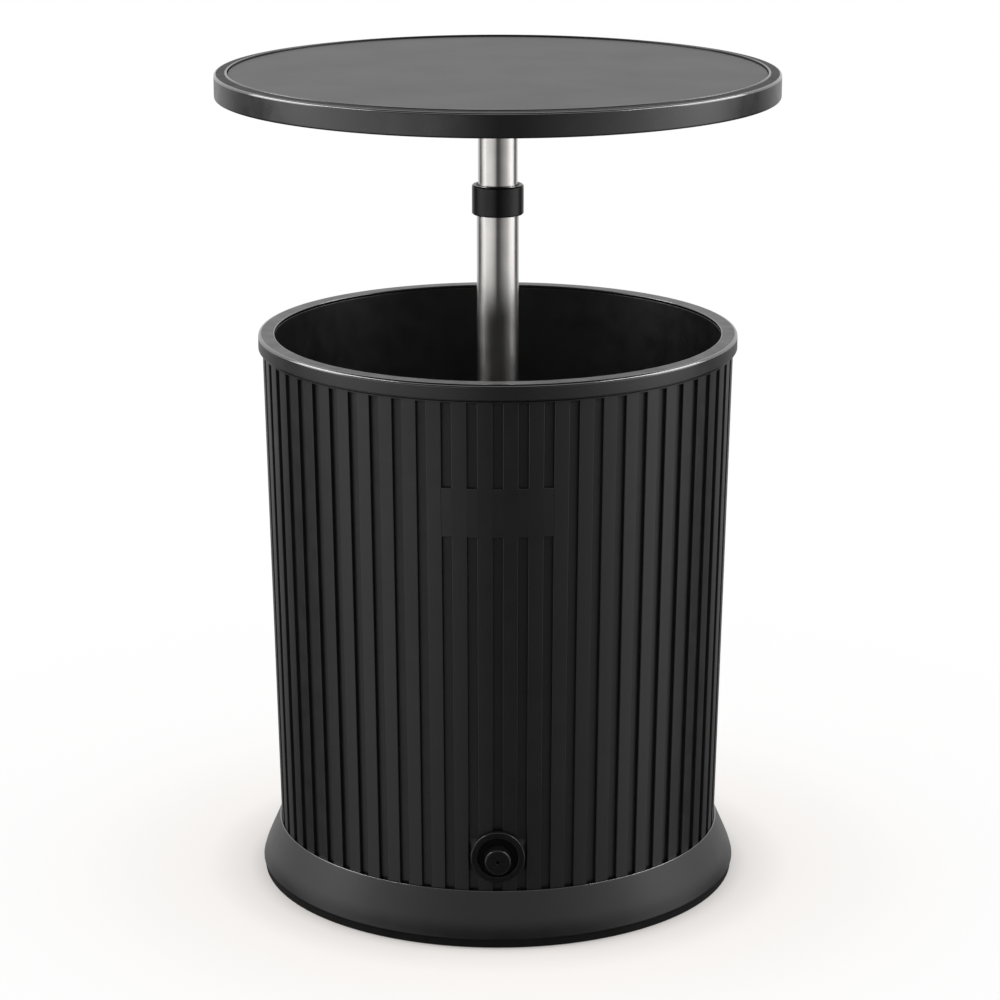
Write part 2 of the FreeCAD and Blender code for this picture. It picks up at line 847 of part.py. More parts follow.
def make_collet(name, tube_radius, outer, low):
    """Split taper ring that a collar squeezes onto a tube."""
    body = new_body(name)
    inner = tube_radius + size.fit_gap
    high = low + size.collet_height
    revolve(body, name + "_section", [
        (inner, low),
        (outer, low),
        (outer - size.collet_taper, high),
        (inner, high),
    ])
    half = size.collet_slit / 2
    sketch = new_sketch(body, name + "_slit_outline", "XY_Plane", high)
    outline(sketch, box_corners(tube_radius, outer + half, -half, half))
    slit = extrude(body, "Pocket", sketch, name + "_slit", size.collet_height - size.collet_base)
    pattern(body, [slit], name + "_slits", size.collet_slit_count)


def make_lower_collar():
    """Twist collar on the neck of the socket, with finger scallops."""
    body = new_body("lower_collar")
    cavity = neck_radius + size.fit_gap
    low = socket_top + size.fit_gap
    cap_low = neck_top + size.collet_height + size.fit_gap
    high = cap_low + size.lower_collar_cap
    tube_gap = size.lower_tube_radius + size.fit_gap
    section = revolve(body, "lower_collar_section", [
        (cavity, low),
        (size.lower_collar_radius, low),
        (size.lower_collar_radius, high),
        (tube_gap, high),
        (tube_gap, cap_low),
        (cavity, cap_low),
    ])
    edges = [(size.lower_collar_radius, low), (size.lower_collar_radius, high)]
    soften(body, section, "lower_collar_chamfer", edges, size.upper_collar_chamfer, "Chamfer")
    reach = size.lower_collar_radius + size.grip_radius - size.grip_depth
    grip = drill(body, "grip", "XY_Plane", high, reach, ZERO, size.grip_radius, high - low)
    pattern(body, [grip], "grips", size.grip_count)


def make_lower_column():
    """Steel tube that slides in the socket, with its glide below and the threaded sleeve on top."""
    tube = size.lower_tube_radius
    snug = tube + size.press_gap
    glide = socket_bore - size.slide_gap
    lip_low = lower_tube_low - size.glide_lip
    ring(new_body("lower_tube"), "lower_tube_wall", lower_tube_bore, tube, lower_tube_low, lower_tube_top)
    revolve(new_body("lower_tube_glide"), "lower_glide_section", [
        (lower_tube_bore, lip_low),
        (glide, lip_low),
        (glide, lower_tube_low + size.glide_sleeve),
        (snug, lower_tube_low + size.glide_sleeve),
        (snug, lower_tube_low),
        (lower_tube_bore, lower_tube_low),
    ])
    sleeve_radius = upper_cavity - size.fit_gap
    slide = size.upper_tube_radius + size.fit_gap
    sleeve_low = lower_tube_top - size.sleeve_grip
    revolve(new_body("upper_sleeve"), "upper_sleeve_section", [
        (snug, sleeve_low),
        (sleeve_radius, sleeve_low),
        (sleeve_radius, sleeve_top),
        (slide, sleeve_top),
        (slide, lower_tube_top),
        (snug, lower_tube_top),
    ])


def make_upper_collar():
    """Plain twist collar between the two steel tubes, with a funnel round the upper tube."""
    body = new_body("upper_collar")
    cap_low = sleeve_top + size.collet_height + size.fit_gap
    bore = size.upper_tube_radius + size.fit_gap
    low, radius = upper_collar_low, size.upper_collar_radius
    section = revolve(body, "upper_collar_section", [
        (upper_cavity, low),
        (radius, low),
        (radius, collar_top),
        (bore + size.funnel_width, collar_top),
        (bore, collar_top - size.funnel_depth),
        (bore, cap_low),
        (upper_cavity, cap_low),
    ])
    soften(body, section, "upper_collar_edges", [(radius, low), (radius, collar_top)],
           size.upper_collar_chamfer, "Chamfer")


def make_upper_column():
    """Upper steel tube, bolted in the hub, and the plug that guides its lower end."""
    body = new_body("upper_tube")
    bore = size.upper_tube_radius - size.upper_tube_wall
    ring(body, "upper_tube_wall", bore, size.upper_tube_radius, upper_tube_low, upper_tube_top)
    cross_hole(body, "tube_bolt_hole", size.upper_tube_radius)
    low = upper_tube_low
    glide = lower_tube_bore - size.slide_gap
    snug = bore - size.press_gap
    revolve(new_body("upper_tube_glide"), "upper_glide_section", [
        (snug - size.spigot_wall, low - size.glide_lip),
        (glide, low - size.glide_lip),
        (glide, low),
        (snug, low),
        (snug, low + size.spigot),
        (snug - size.spigot_wall, low + size.spigot),
    ])


def cross_hole(body, name, reach):
    """Hole for the hub bolt, right through from front to back."""
    sketch = new_sketch(body, name + "_circle", "XZ_Plane")
    circle(sketch, ZERO, bolt_height, size.hub_bolt_radius + size.hole_play)
    extrude(body, "Pocket", sketch, name, (reach + size.cut_spare) * 2, middle=True)


# Table

def make_table_hub():
    """Socket under the table that holds the upper tube."""
    body = new_body("table_hub")
    revolve(body, "hub_section", [
        (hub_bore, hub_low),
        (size.hub_radius, hub_low),
        (size.hub_radius, hub_flange_low),
        (size.hub_flange_radius, hub_flange_low),
        (size.hub_flange_radius, rib_low),
        (ZERO, rib_low),
        (ZERO, upper_tube_top),
        (hub_bore, upper_tube_top),
    ])
    root = size.hub_radius - size.hub_web
    web(body, "hub_gusset", [
        (root, hub_flange_low),
        (size.hub_radius + size.gusset_foot, hub_flange_low),
        (size.hub_radius, hub_flange_low - size.hub_gusset_rise),
        (root, hub_flange_low - size.hub_gusset_rise),
    ], size.gusset_plate, size.gusset_count)
    place = polar(size.hub_screw_circle, half_screw_turn)
    hole = drill(body, "hub_hole", "XY_Plane", rib_low, *place,
                 size.screw_radius + size.hole_play, size.hub_flange)
    pattern(body, [hole], "hub_holes", size.gusset_count)
    cross_hole(body, "hub_bolt_hole", size.hub_radius)


def make_hub_bolt():
    """Cross bolt through hub and tube, its head at the front and its nut at the back."""
    front, back = -size.hub_radius, size.hub_radius + size.hub_nut + size.bolt_spare
    shank = bolt_height + size.hub_bolt_radius
    head = bolt_height + size.hub_bolt_head_radius
    head_end = front - size.hub_bolt_head
    turn(new_body("hub_bolt"), "hub_bolt_body", "YZ_Plane", [
        (head_end, bolt_height),
        (head_end, head),
        (front, head),
        (front, shank),
        (back, shank),
        (back, bolt_height),
    ], (head_end, bolt_height), (back, bolt_height))
    body = new_body("hub_nut")
    sketch = new_sketch(body, "hub_nut_outline", "XZ_Plane", -size.hub_radius)
    hexagon(sketch, ZERO, bolt_height, size.hub_bolt_head_radius)
    circle(sketch, ZERO, bolt_height, size.hub_bolt_radius + size.slide_gap)
    extrude(body, "Pad", sketch, "hub_nut_body", size.hub_nut, back=True)


def make_table_body():
    """Moulded round deck with a raised lip and a hanging edge."""
    body = new_body("table_body")
    under_lip = lip_inner + size.table_wall
    lip_low = table_top - size.table_wall
    wall_inner = size.table_radius - size.table_wall
    tray = revolve(body, "table_tray", [
        (ZERO, plate_low),
        (under_lip, plate_low),
        (under_lip, lip_low),
        (wall_inner, lip_low),
        (wall_inner, edge_low),
        (size.table_radius, edge_low),
        (size.table_radius, table_top),
        (lip_inner, table_top),
        (lip_inner, plate_top),
        (ZERO, plate_top),
    ])
    outer = soften(body, tray, "table_edge_rounding", [(size.table_radius, table_top)],
                   size.table_edge_round)
    soften(body, outer, "lip_rounding", [(lip_inner, table_top), (size.table_radius, edge_low)],
           size.lip_round)


def make_table_brace():
    """Ribbed brace under the deck, from the hub out to the lid ring."""
    body = new_body("table_brace")
    edge = locating_radius - size.table_rib - size.fit_gap
    for name, outer in (
        ("hub_ring", size.hub_flange_radius),
        ("inner_ring", size.inner_ring_radius),
        ("outer_ring", size.outer_ring_radius),
        ("edge_ring", edge),
    ):
        ring(body, name, outer - size.table_rib, outer, rib_low, plate_low)
    reach = edge - size.table_rib / 2
    web(body, "rib", box_corners(size.hub_radius, reach, rib_low, plate_low),
        size.table_rib, size.table_rib_count)
    place = polar(size.hub_screw_circle, half_screw_turn)
    sketch = new_sketch(body, "hub_boss_circle", "XY_Plane", rib_low)
    circle(sketch, *place, size.hub_boss_radius)
    boss = extrude(body, "Pad", sketch, "hub_boss", size.table_rib_depth)
    hole = drill(body, "hub_boss_hole", "XY_Plane", rib_low, *place,
                 size.screw_radius + size.hole_play, size.table_rib_depth, back=True)
    pattern(body, [boss, hole], "hub_bosses", size.gusset_count)


def make_lid_ring():
    """Ring under the deck that closes the tub: a locating wall inside and the channel of the seal outside."""
    half = size.seal_width / 2 + size.fit_gap
    walls = half + size.seal_channel_wall
    channel_low = seal_top - size.seal_channel
    locating_low = seal_low - size.locating_depth
    plate = plate_low - size.table_wall
    revolve(new_body("lid_ring"), "lid_ring_section", [
        (locating_radius - size.table_rib, locating_low),
        (locating_radius, locating_low),
        (locating_radius, plate),
        (seal_middle - walls, plate),
        (seal_middle - walls, channel_low),
        (seal_middle - half, channel_low),
        (seal_middle - half, seal_top),
        (seal_middle + half, seal_top),
        (seal_middle + half, channel_low),
        (seal_middle + walls, channel_low),
        (seal_middle + walls, plate_low),
        (locating_radius - size.table_rib, plate_low),
    ])


def make_table_inlay():
    """Thin round mat plate that lies inside the lip."""
    body = new_body("table_inlay")
    inlay_top = plate_top + size.inlay_plate
    radius = lip_inner - size.fit_gap
    disc = ring(body, "inlay_disc", ZERO, radius, plate_top, inlay_top)
    soften(body, disc, "inlay_rounding", [(radius, inlay_top)], size.lip_round)


def make_lid_seal():
    """Soft ring in its channel, which meets the rim of the tub when the table is down."""
    half = size.seal_width / 2
    ring(new_body("lid_seal"), "seal_section", seal_middle - half, seal_middle + half, seal_low, seal_top)


make_outer_shell()
make_inner_liner()
make_rim_ring()
make_wall_foam()
make_floor_foam()
make_base_skirt()
make_base_pan()
make_foot_ring()
make_screws("base_screws", base_screw_circle, pan_low, size.base_screw,
            size.base_screw_count, half_base_turn, upward=True)
make_drain()
make_column_socket()
make_socket_gasket()
make_screws("socket_screws", size.socket_screw_circle, flange_face, size.socket_screw,
            size.gusset_count, half_screw_turn, upward=False)
make_collet("lower_collet", size.lower_tube_radius, neck_radius, neck_top)
make_lower_collar()
make_lower_column()
make_collet("upper_collet", size.upper_tube_radius, upper_cavity - size.fit_gap, sleeve_top)
make_upper_collar()
make_upper_column()
make_table_hub()
make_screws("hub_screws", size.hub_screw_circle, hub_flange_low, size.hub_screw,
            size.gusset_count, half_screw_turn, upward=True)
make_hub_bolt()
make_table_body()
make_table_brace()
make_lid_ring()
make_table_inlay()
make_lid_seal()


def export_parts():
    """Check every object and sub-part, then write one file for each sub-part."""
    doc.recompute()
    for item in doc.Objects:
        if "Invalid" in item.State or "Error" in item.State:
            raise ValueError(f"{item.Name} did not build: {item.State}")
    bodies = [item for item in doc.Objects if item.TypeId == "PartDesign::Body"]
    for body in bodies:
        if body.Shape.isNull() or not body.Shape.isValid():
            raise ValueError(f"{body.Label} has no valid shape")
    os.makedirs("parts", exist_ok=True)
    for body in bodies:
        body.Shape.exportStep(f"parts/{body.Label}.step")
        solids = len(body.Shape.Solids)
        print(f"{body.Label}: {solids} solid(s), {body.Shape.Volume / 1000:.1f} cm3")


export_parts()
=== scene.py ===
# %% [markdown]
# # A patio cooler whose table top is its lid
#
# The object is a round insulated tub on a flared foot, a steel column that
# telescopes out of its middle, and a round table that slides down the column
# and closes the tub. It is shown raised, as it stands in use.
#
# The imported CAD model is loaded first, as a fixed frame. Everything below
# is in metres in that frame, so nothing has to be fitted by eye: +Z is up, the
# drain faces -Y, and the origin is on the floor under the column.

# %% Load the frame
import math

import bmesh
import bpy
from mathutils import Matrix, Vector


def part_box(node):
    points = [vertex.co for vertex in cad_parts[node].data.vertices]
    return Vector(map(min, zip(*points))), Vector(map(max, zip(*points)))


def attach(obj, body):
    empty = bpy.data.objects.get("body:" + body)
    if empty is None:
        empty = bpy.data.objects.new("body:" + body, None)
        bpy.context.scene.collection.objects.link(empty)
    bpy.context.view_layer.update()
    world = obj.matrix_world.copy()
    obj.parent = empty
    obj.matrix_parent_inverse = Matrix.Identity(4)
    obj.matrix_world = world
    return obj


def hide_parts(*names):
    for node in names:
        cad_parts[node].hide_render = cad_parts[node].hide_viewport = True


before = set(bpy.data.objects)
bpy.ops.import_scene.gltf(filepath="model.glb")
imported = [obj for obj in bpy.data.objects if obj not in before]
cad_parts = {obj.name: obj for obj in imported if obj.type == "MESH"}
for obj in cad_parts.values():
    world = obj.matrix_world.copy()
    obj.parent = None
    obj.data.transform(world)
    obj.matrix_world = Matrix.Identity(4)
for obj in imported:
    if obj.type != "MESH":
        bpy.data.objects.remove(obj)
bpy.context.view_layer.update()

MM = 0.001

# %% [markdown]
# ## Camera
#
# The photograph was taken with a long lens from about 3.3 m away, 0.44 m above
# the table's top, so the ellipses of the table and of the rim open only
# slightly. The camera could be placed by eye, but here it was fitted to the
# ellipses of the table, the rim and the foot: how far the front and the back of
# each lie apart gives the camera's height and pitch.

# %% Camera
CAMERA_PLACE = Vector((0.0022, -3.206, 1.281))
CAMERA_PITCH = math.radians(15.47)
LENS = 115.69


def make_camera():
    lens = bpy.data.cameras.new("camera")
    lens.lens = LENS
    camera = bpy.data.objects.new("camera", lens)
    camera.location = CAMERA_PLACE
    camera.rotation_euler = (math.pi / 2 - CAMERA_PITCH, 0, 0)
    bpy.context.scene.collection.objects.link(camera)
    bpy.context.scene.camera = camera
    return camera


camera = make_camera()
print("camera looks down by", round(math.degrees(CAMERA_PITCH), 1), "degrees")

# %% [markdown]
# ## Helpers for node trees
#
# Materials and the world are both small graphs of nodes. They could be drawn
# by hand in the shader editor, but as code they are the same each time. One
# helper adds a node and sets its sockets, one joins two sockets, one makes
# sums, and the others turn a value into greys, a fade or a mix of two greys,
# so that each material below reads as a short recipe.

# %% Nodes and links
def add_node(tree, kind, sockets=None, **settings):
    """A node with its settings and the default values of its sockets."""
    node = tree.nodes.new("ShaderNode" + kind)
    for name, value in settings.items():
        setattr(node, name, value)
    for name, value in (sockets or {}).items():
        node.inputs[name].default_value = value
    return node


def join(tree, source, output, target, socket):
    """A link from one node's output to another's socket."""
    tree.links.new(source.outputs[output], target.inputs[socket])


def sums(tree, operation, first, second):
    """A Math node on two values, each a number or a (node, output) pair."""
    node = add_node(tree, "Math", operation=operation)
    for index, value in enumerate((first, second)):
        if isinstance(value, tuple):
            join(tree, *value, node, index)
        else:
            node.inputs[index].default_value = value
    return node, "Value"


print("nodes can be added and joined")

# %% Ramps, fades and mixes
def ramp(tree, stops):
    """A ColorRamp through (position, grey) stops."""
    node = add_node(tree, "ValToRGB")
    band = node.color_ramp.elements
    band[0].position, band[1].position = stops[0][0], stops[-1][0]
    for position, _ in stops[1:-1]:
        band.new(position)
    for element, (_, grey) in zip(band, stops):
        element.color = (grey, grey, grey, 1)
    return node


def fade(tree, value, start, end):
    """0 up to start, 1 from end on, and in between in proportion."""
    node = add_node(tree, "MapRange")
    join(tree, *value, node, "Value")
    node.inputs["From Min"].default_value = start
    node.inputs["From Max"].default_value = end
    return node, "Result"


def mixed(tree, factor, first, second):
    """From the first to the second as the factor rises, each a grey or a (node, output) pair."""
    node = add_node(tree, "MixRGB")
    join(tree, *factor, node, "Fac")
    for socket, value in (("Color1", first), ("Color2", second)):
        if isinstance(value, tuple):
            join(tree, *value, node, socket)
        else:
            node.inputs[socket].default_value = (value, value, value, 1)
    return node, "Color"


def seen_directly(tree):
    """1 for camera, glossy and transmitted rays, which should see the white studio."""
    path = add_node(tree, "LightPath")
    total = sums(tree, "ADD", (path, "Is Camera Ray"), (path, "Is Glossy Ray"))
    total = sums(tree, "ADD", total, (path, "Is Transmission Ray"))
    return sums(tree, "MINIMUM", total, 1.0)


print("ramps, fades and mixes ready")

# %% [markdown]
# ## Studio
#
# Dark satin plastic has little colour of its own: most of what the eye sees is
# the room in it. A picture of a real studio could be wrapped round the scene,
# but a few ramps draw one without any image. To the camera the world is plain
# white. To reflections it is a room. Boards stand round the object between two
# heights, white at the sides and dark behind the camera, which keeps the tub's
# front dark, with a nearly black gap at each side for the dark edges of the steel
# tubes. Above and below the boards the open room shows, and everything gets
# darker downwards, as the tub does in the photograph. Over it all a white
# ceiling slopes down behind the object. It opens into a dark roof, so that the
# lamps' highlights on the rims stand out.

# %% Room for the reflections
WORLD_LIGHT = 0.22
# Degrees round from the camera's side, minus to the left, and how bright the boards are there.
WALLS = [(-180, 0.62), (-150, 0.56), (-134, 0.36), (-125, 0.03), (-108, 0.03), (-98, 0.35),
         (-86, 0.78), (-76, 1.0), (-38, 1.0), (-30, 0.88), (-18, 0.65), (-11, 0.40), (-5, 0.11),
         (8, 0.10), (16, 0.22), (32, 0.42), (54, 0.65), (68, 1.0), (96, 1.0), (105, 0.45),
         (112, 0.03), (129, 0.03), (140, 0.36), (156, 0.56), (180, 0.62)]
# From the camera's side (-1) to the far side (1): the room above and below the boards.
ROOM = [(-1.0, 0.02), (-0.85, 0.04), (-0.6, 0.20), (-0.3, 0.65), (0.0, 1.0), (0.2, 0.9),
        (0.35, 0.45), (0.57, 0.45), (0.7, 0.75), (0.85, 0.6), (1.0, 0.5)]
# Heights are the Z of a direction, from -1 straight down to 1 straight up.
BOARDS_FOOT, BOARDS_TOP = (-0.55, -0.48), (-0.04, -0.12)  # the boards fade in over each of these
CEILING_TILT = 0.28                    # the ceiling comes down lower behind the object than in front
CEILING_EDGE = (0.08, 0.24)            # over these heights the room turns into the white ceiling
PAPER_EDGE = (-0.5, -0.75)             # and over these ones into the white paper below
SHADE, SHADE_LEFT = (-0.50, -0.20), 0.12  # between these heights it darkens to this share
ROOF, ROOF_GREY = (0.72, 0.84), 0.03   # over these heights the ceiling opens into the dark roof


def room_around(tree):
    """The colour that a reflection sees in its direction."""
    place = add_node(tree, "TexCoord")
    parts = add_node(tree, "SeparateXYZ")
    join(tree, place, "Generated", parts, "Vector")
    x, y, z = ((parts, name) for name in "XYZ")
    turn = sums(tree, "DIVIDE", sums(tree, "ARCTAN2", x, sums(tree, "MULTIPLY", y, -1.0)), math.tau)
    walls = ramp(tree, [(degrees / 360 + 0.5, grey) for degrees, grey in WALLS])
    join(tree, *sums(tree, "ADD", turn, 0.5), walls, "Fac")
    depth = ramp(tree, [(side / 2 + 0.5, grey) for side, grey in ROOM])
    join(tree, *sums(tree, "ADD", sums(tree, "MULTIPLY", y, 0.5), 0.5), depth, "Fac")
    on_boards = sums(tree, "MULTIPLY", fade(tree, z, *BOARDS_FOOT), fade(tree, z, *BOARDS_TOP))
    around = mixed(tree, on_boards, (depth, "Color"), (walls, "Color"))
    height = sums(tree, "ADD", z, sums(tree, "MULTIPLY", y, CEILING_TILT))
    white = sums(tree, "MAXIMUM", fade(tree, height, *CEILING_EDGE), fade(tree, z, *PAPER_EDGE))
    room = mixed(tree, white, around, 1.0)
    lit = sums(tree, "MAXIMUM", fade(tree, z, *SHADE), SHADE_LEFT)
    return mixed(tree, fade(tree, z, *ROOF), mixed(tree, lit, 0.0, room), ROOF_GREY)


print("room with", len(WALLS), "shades round it")

# %% World
def make_world():
    """White to the camera, the room to reflections, and dim white to everything else."""
    world = bpy.data.worlds.new("studio")
    world.use_nodes = True
    tree = world.node_tree
    tree.nodes.clear()
    path = add_node(tree, "LightPath")
    rays = sums(tree, "MAXIMUM", (path, "Is Glossy Ray"), (path, "Is Transmission Ray"))
    reflected = mixed(tree, rays, 1.0, room_around(tree))
    strength = add_node(tree, "MapRange", {"To Min": WORLD_LIGHT, "To Max": 1.0})
    join(tree, *seen_directly(tree), strength, "Value")
    background = add_node(tree, "Background")
    join(tree, *reflected, background, "Color")
    join(tree, strength, "Result", background, "Strength")
    join(tree, background, "Background", add_node(tree, "OutputWorld"), "Surface")
    bpy.context.scene.world = world


make_world()
bpy.context.scene.view_settings.view_transform = "Standard"
print("world lights at", WORLD_LIGHT)

# %% [markdown]
# Five soft lamps light the object: one above, one at each side, and two long
# strips that put the thin highlights on the rims' shoulders. Small lamps or a
# sun would draw hard shadows, so all of them are large flat ones. The one above
# doesn't show in reflections, because the roof there stays dark.

# %% Lamps
LAMP_AIM = Vector((0, 0, 0.45))


def soft_lamp(name, place, size, power):
    """A large flat lamp that looks at the middle of the object."""
    lamp = bpy.data.lights.new(name, "AREA")
    lamp.shape = "RECTANGLE"
    lamp.size, lamp.size_y = size
    lamp.energy = power
    lamp_object = bpy.data.objects.new(name, lamp)
    lamp_object.location = place
    towards = LAMP_AIM - Vector(place)
    lamp_object.rotation_euler = towards.to_track_quat("-Z", "Y").to_euler()
    bpy.context.scene.collection.objects.link(lamp_object)
    return lamp_object


top_lamp = soft_lamp("top_lamp", (0, 0.3, 2.6), (2.6, 2.2), 8)
top_lamp.visible_glossy = False
for side, lamp_name in ((-1, "left"), (1, "right")):
    soft_lamp(lamp_name + "_lamp", (2.2 * side, 0.1, 1.4), (1.6, 1.3), 17)
    soft_lamp(lamp_name + "_strip_lamp", (1.97 * side, -0.05, 2.13), (3.0, 0.27), 27)
print("five soft lamps")

# %% [markdown]
# The floor is one flat sheet of white paper. A catcher of shadows alone would
# need compositing, so the sheet mixes two things by the distance from the
# middle: near the foot it is paper that takes the object's shadow, and further off
# it glows plain white by itself, until it can't be told from the background.
# The glow fades out towards the foot, so a ring round it is darker by distance
# as well as by the real shadow: partly painted shade. Close to the object the
# glow is a little warm, as in the photograph, a painted warm tone over that shade.

# %% Floor
FLOOR_SIZE = 30.0
FLOOR_DROP = 0.2 * MM                  # a hair under the foot, so that the two faces don't fight
FLOOR_PAPER, WARM_WHITE = (0.8, 0.77, 0.745), (1.0, 0.966, 0.940)
# How much of the floor glows, by the distance from the middle in metres.
# The low glow near the foot darkens a ring there by distance: partly painted shade.
FLOOR_GLOW = [(0.24, 0.15), (0.265, 0.58), (0.31, 0.84), (0.45, 0.94), (1.0, 1.0)]
# Over this zone the glow's warm tint paints a warm tone over the shadow near the foot.
WARM_ZONE = (0.28, 0.52)               # over these distances the glow goes from warm to plain white


def make_floor():
    """A white floor: it takes the shadow near the object and is plain white further off; its glow fades
    near the foot, which paints some shade there.
    """
    mesh = bpy.data.meshes.new("floor")
    shape = bmesh.new()
    bmesh.ops.create_grid(shape, x_segments=4, y_segments=4, size=FLOOR_SIZE / 2)
    shape.to_mesh(mesh)
    shape.free()
    floor = bpy.data.objects.new("floor", mesh)
    floor.location.z = -FLOOR_DROP
    floor.visible_glossy = False
    bpy.context.scene.collection.objects.link(floor)
    paint = bpy.data.materials.new("floor_paper")
    paint.use_nodes = True
    tree = paint.node_tree
    tree.nodes.clear()
    paper = add_node(tree, "BsdfDiffuse", {"Color": (*FLOOR_PAPER, 1)})
    glow = add_node(tree, "Emission", {"Strength": 1.0})
    place = add_node(tree, "TexCoord")
    distance = add_node(tree, "VectorMath", operation="LENGTH")
    join(tree, place, "Object", distance, 0)
    whiteness = ramp(tree, FLOOR_GLOW)
    join(tree, distance, "Value", whiteness, "Fac")
    tint = add_node(tree, "MixRGB", {"Color1": (*WARM_WHITE, 1), "Color2": (1, 1, 1, 1)})
    join(tree, *fade(tree, (distance, "Value"), *WARM_ZONE), tint, "Fac")
    join(tree, tint, "Color", glow, "Color")
    mix = add_node(tree, "MixShader")
    join(tree, *sums(tree, "MULTIPLY", seen_directly(tree), (whiteness, "Color")), mix, "Fac")
    join(tree, paper, "BSDF", mix, 1)
    join(tree, glow, "Emission", mix, 2)
    join(tree, mix, "Shader", add_node(tree, "OutputMaterial"), "Surface")
    mesh.materials.append(paint)
    return floor


make_floor()
print("floor", FLOOR_SIZE, "m wide")

# %% [markdown]
# ## Finishes
#
# Nearly every part is injection moulded polypropylene in black or dark grey.
# Such a wall is never one flat colour: the pigment drifts a little, the
# sparked mould leaves a fine grain, and handling polishes it unevenly. A painted
# picture could show that, but noise needs none and fits any shape. So each
# plastic mixes two close greys with slow noise, breaks the gloss up with a
# second noise, and gets its grain as a bump from a third, very fine one.

# %% Drift and grain
def start_material(name):
    """A material with its node tree, its shader and the coordinates on the piece."""
    material = bpy.data.materials.new(name)
    material.use_nodes = True
    tree = material.node_tree
    place = add_node(tree, "TexCoord")
    return material, tree, tree.nodes["Principled BSDF"], place


def noise(tree, place, scale, detail=3.0, stretch=None):
    """Noise over the piece, with (x, y, z) factors where a finish has a direction."""
    texture = add_node(tree, "TexNoise", {"Scale": scale, "Detail": detail})
    if stretch:
        mapping = add_node(tree, "Mapping", {"Scale": stretch})
        join(tree, place, "Object", mapping, "Vector")
        join(tree, mapping, "Vector", texture, "Vector")
    else:
        join(tree, place, "Object", texture, "Vector")
    return texture


NOISE_LOW, NOISE_HIGH = 0.3, 0.7       # noise is seldom outside these


def colour_drift(tree, shader, factor, light, dark):
    """The base colour wanders between two close colours."""
    band = ramp(tree, [(NOISE_LOW, 0), (NOISE_HIGH, 1)])
    band.color_ramp.elements[0].color = (*dark, 1)
    band.color_ramp.elements[1].color = (*light, 1)
    join(tree, factor, "Fac", band, "Fac")
    join(tree, band, "Color", shader, "Base Color")


def gloss_drift(tree, shader, factor, smooth, rough):
    """The roughness wanders between two values."""
    spread = add_node(tree, "MapRange", {"From Min": NOISE_LOW, "From Max": NOISE_HIGH,
                                         "To Min": smooth, "To Max": rough})
    join(tree, factor, "Fac", spread, "Value")
    join(tree, spread, "Result", shader, "Roughness")


def grain(tree, shader, source, output, strength, distance):
    """A bump from a texture, with the depth of its hollows."""
    bump = add_node(tree, "Bump", {"Strength": strength, "Distance": distance})
    join(tree, source, output, bump, "Height")
    join(tree, bump, "Normal", shader, "Normal")


print("drift and grain ready")

# %% [markdown]
# One recipe serves all the plastics, and they differ in their grey, their
# roughness and their shine. A mould's own finish differs too: the ribs' eased
# corners are polished and draw a thin bright line, the grooves come out duller
# than the ribs, and edges that hands rub are worn smooth. The two edge plastics
# are also a lighter grey than the parts they sit on, which paints a thin light
# line along those edges besides the lamps' real highlights: a painted highlight.
# So these places get plastics of their own, and the table's lip gets a matt one.

# %% Moulded plastic
PIGMENT_DRIFT = 0.12                   # how far the grey drifts, as a share of itself
PIGMENT_SCALE, GLOSS_SCALE = 14.0, 55.0
MOULD_GRAIN = 0.15 * MM
SHELL_GREY = (0.0070, 0.0069, 0.0070)


def moulded_plastic(name, colour, smooth, rough, shine=0.5, ior=1.49, grain_strength=0.12):
    """A dark plastic whose roughness lies between smooth and rough."""
    material, tree, shader, place = start_material(name)
    shader.inputs["IOR"].default_value = ior
    shader.inputs["Specular IOR Level"].default_value = shine
    light = [channel * (1 + PIGMENT_DRIFT) for channel in colour]
    dark = [channel * (1 - PIGMENT_DRIFT) for channel in colour]
    colour_drift(tree, shader, noise(tree, place, PIGMENT_SCALE, 5.0), light, dark)
    gloss_drift(tree, shader, noise(tree, place, GLOSS_SCALE, 4.0), smooth, rough)
    grain(tree, shader, noise(tree, place, 900.0, 2.0), "Fac", grain_strength, MOULD_GRAIN)
    return material


shell_plastic = moulded_plastic("shell_plastic", SHELL_GREY, 0.36, 0.44, shine=0.85)
corner_plastic = moulded_plastic("corner_plastic", SHELL_GREY, 0.14, 0.20, shine=0.9, grain_strength=0.01)
groove_plastic = moulded_plastic("groove_plastic", SHELL_GREY, 0.42, 0.50, shine=0.72)
rim_plastic = moulded_plastic("rim_plastic", (0.0080, 0.0078, 0.0080), 0.36, 0.44, shine=0.88)
liner_plastic = moulded_plastic("liner_plastic", (0.0090, 0.0090, 0.0093), 0.30, 0.38, grain_strength=0.06)
base_plastic = moulded_plastic("base_plastic", (0.0050, 0.0049, 0.0050), 0.33, 0.39, shine=0.62)
column_plastic = moulded_plastic("column_plastic", (0.0060, 0.0060, 0.0062), 0.22, 0.30)
table_plastic = moulded_plastic("table_plastic", (0.0035, 0.0034, 0.0036), 0.26, 0.33, shine=0.95, ior=1.60)
lip_plastic = moulded_plastic("lip_plastic", (0.0120, 0.0117, 0.0121), 0.50, 0.58, shine=0.20)
drain_plastic = moulded_plastic("drain_plastic", (0.0070, 0.0070, 0.0072), 0.22, 0.30)
# lighter grey than the rim, the deck and the skirt it edges: a painted highlight line, besides its real
# gloss
edge_plastic = moulded_plastic("edge_plastic", (0.012, 0.0118, 0.012), 0.10, 0.14,
                               shine=1.0, ior=1.7, grain_strength=0.005)
# lighter still, for the table's bead and the drain's edges: a painted highlight line there
soft_edge_plastic = moulded_plastic("soft_edge_plastic", (0.018, 0.0177, 0.018), 0.18, 0.24)
print("twelve plastics")

# %% [markdown]
# The table's inlay is a matt plate with a leathery grain, so that what stands on
# it doesn't slide. Noise gives soft hills but no pebbles, so here the grain comes
# from Voronoi cells. A slow noise adds the faint clouds that the photograph
# shows on the plate.

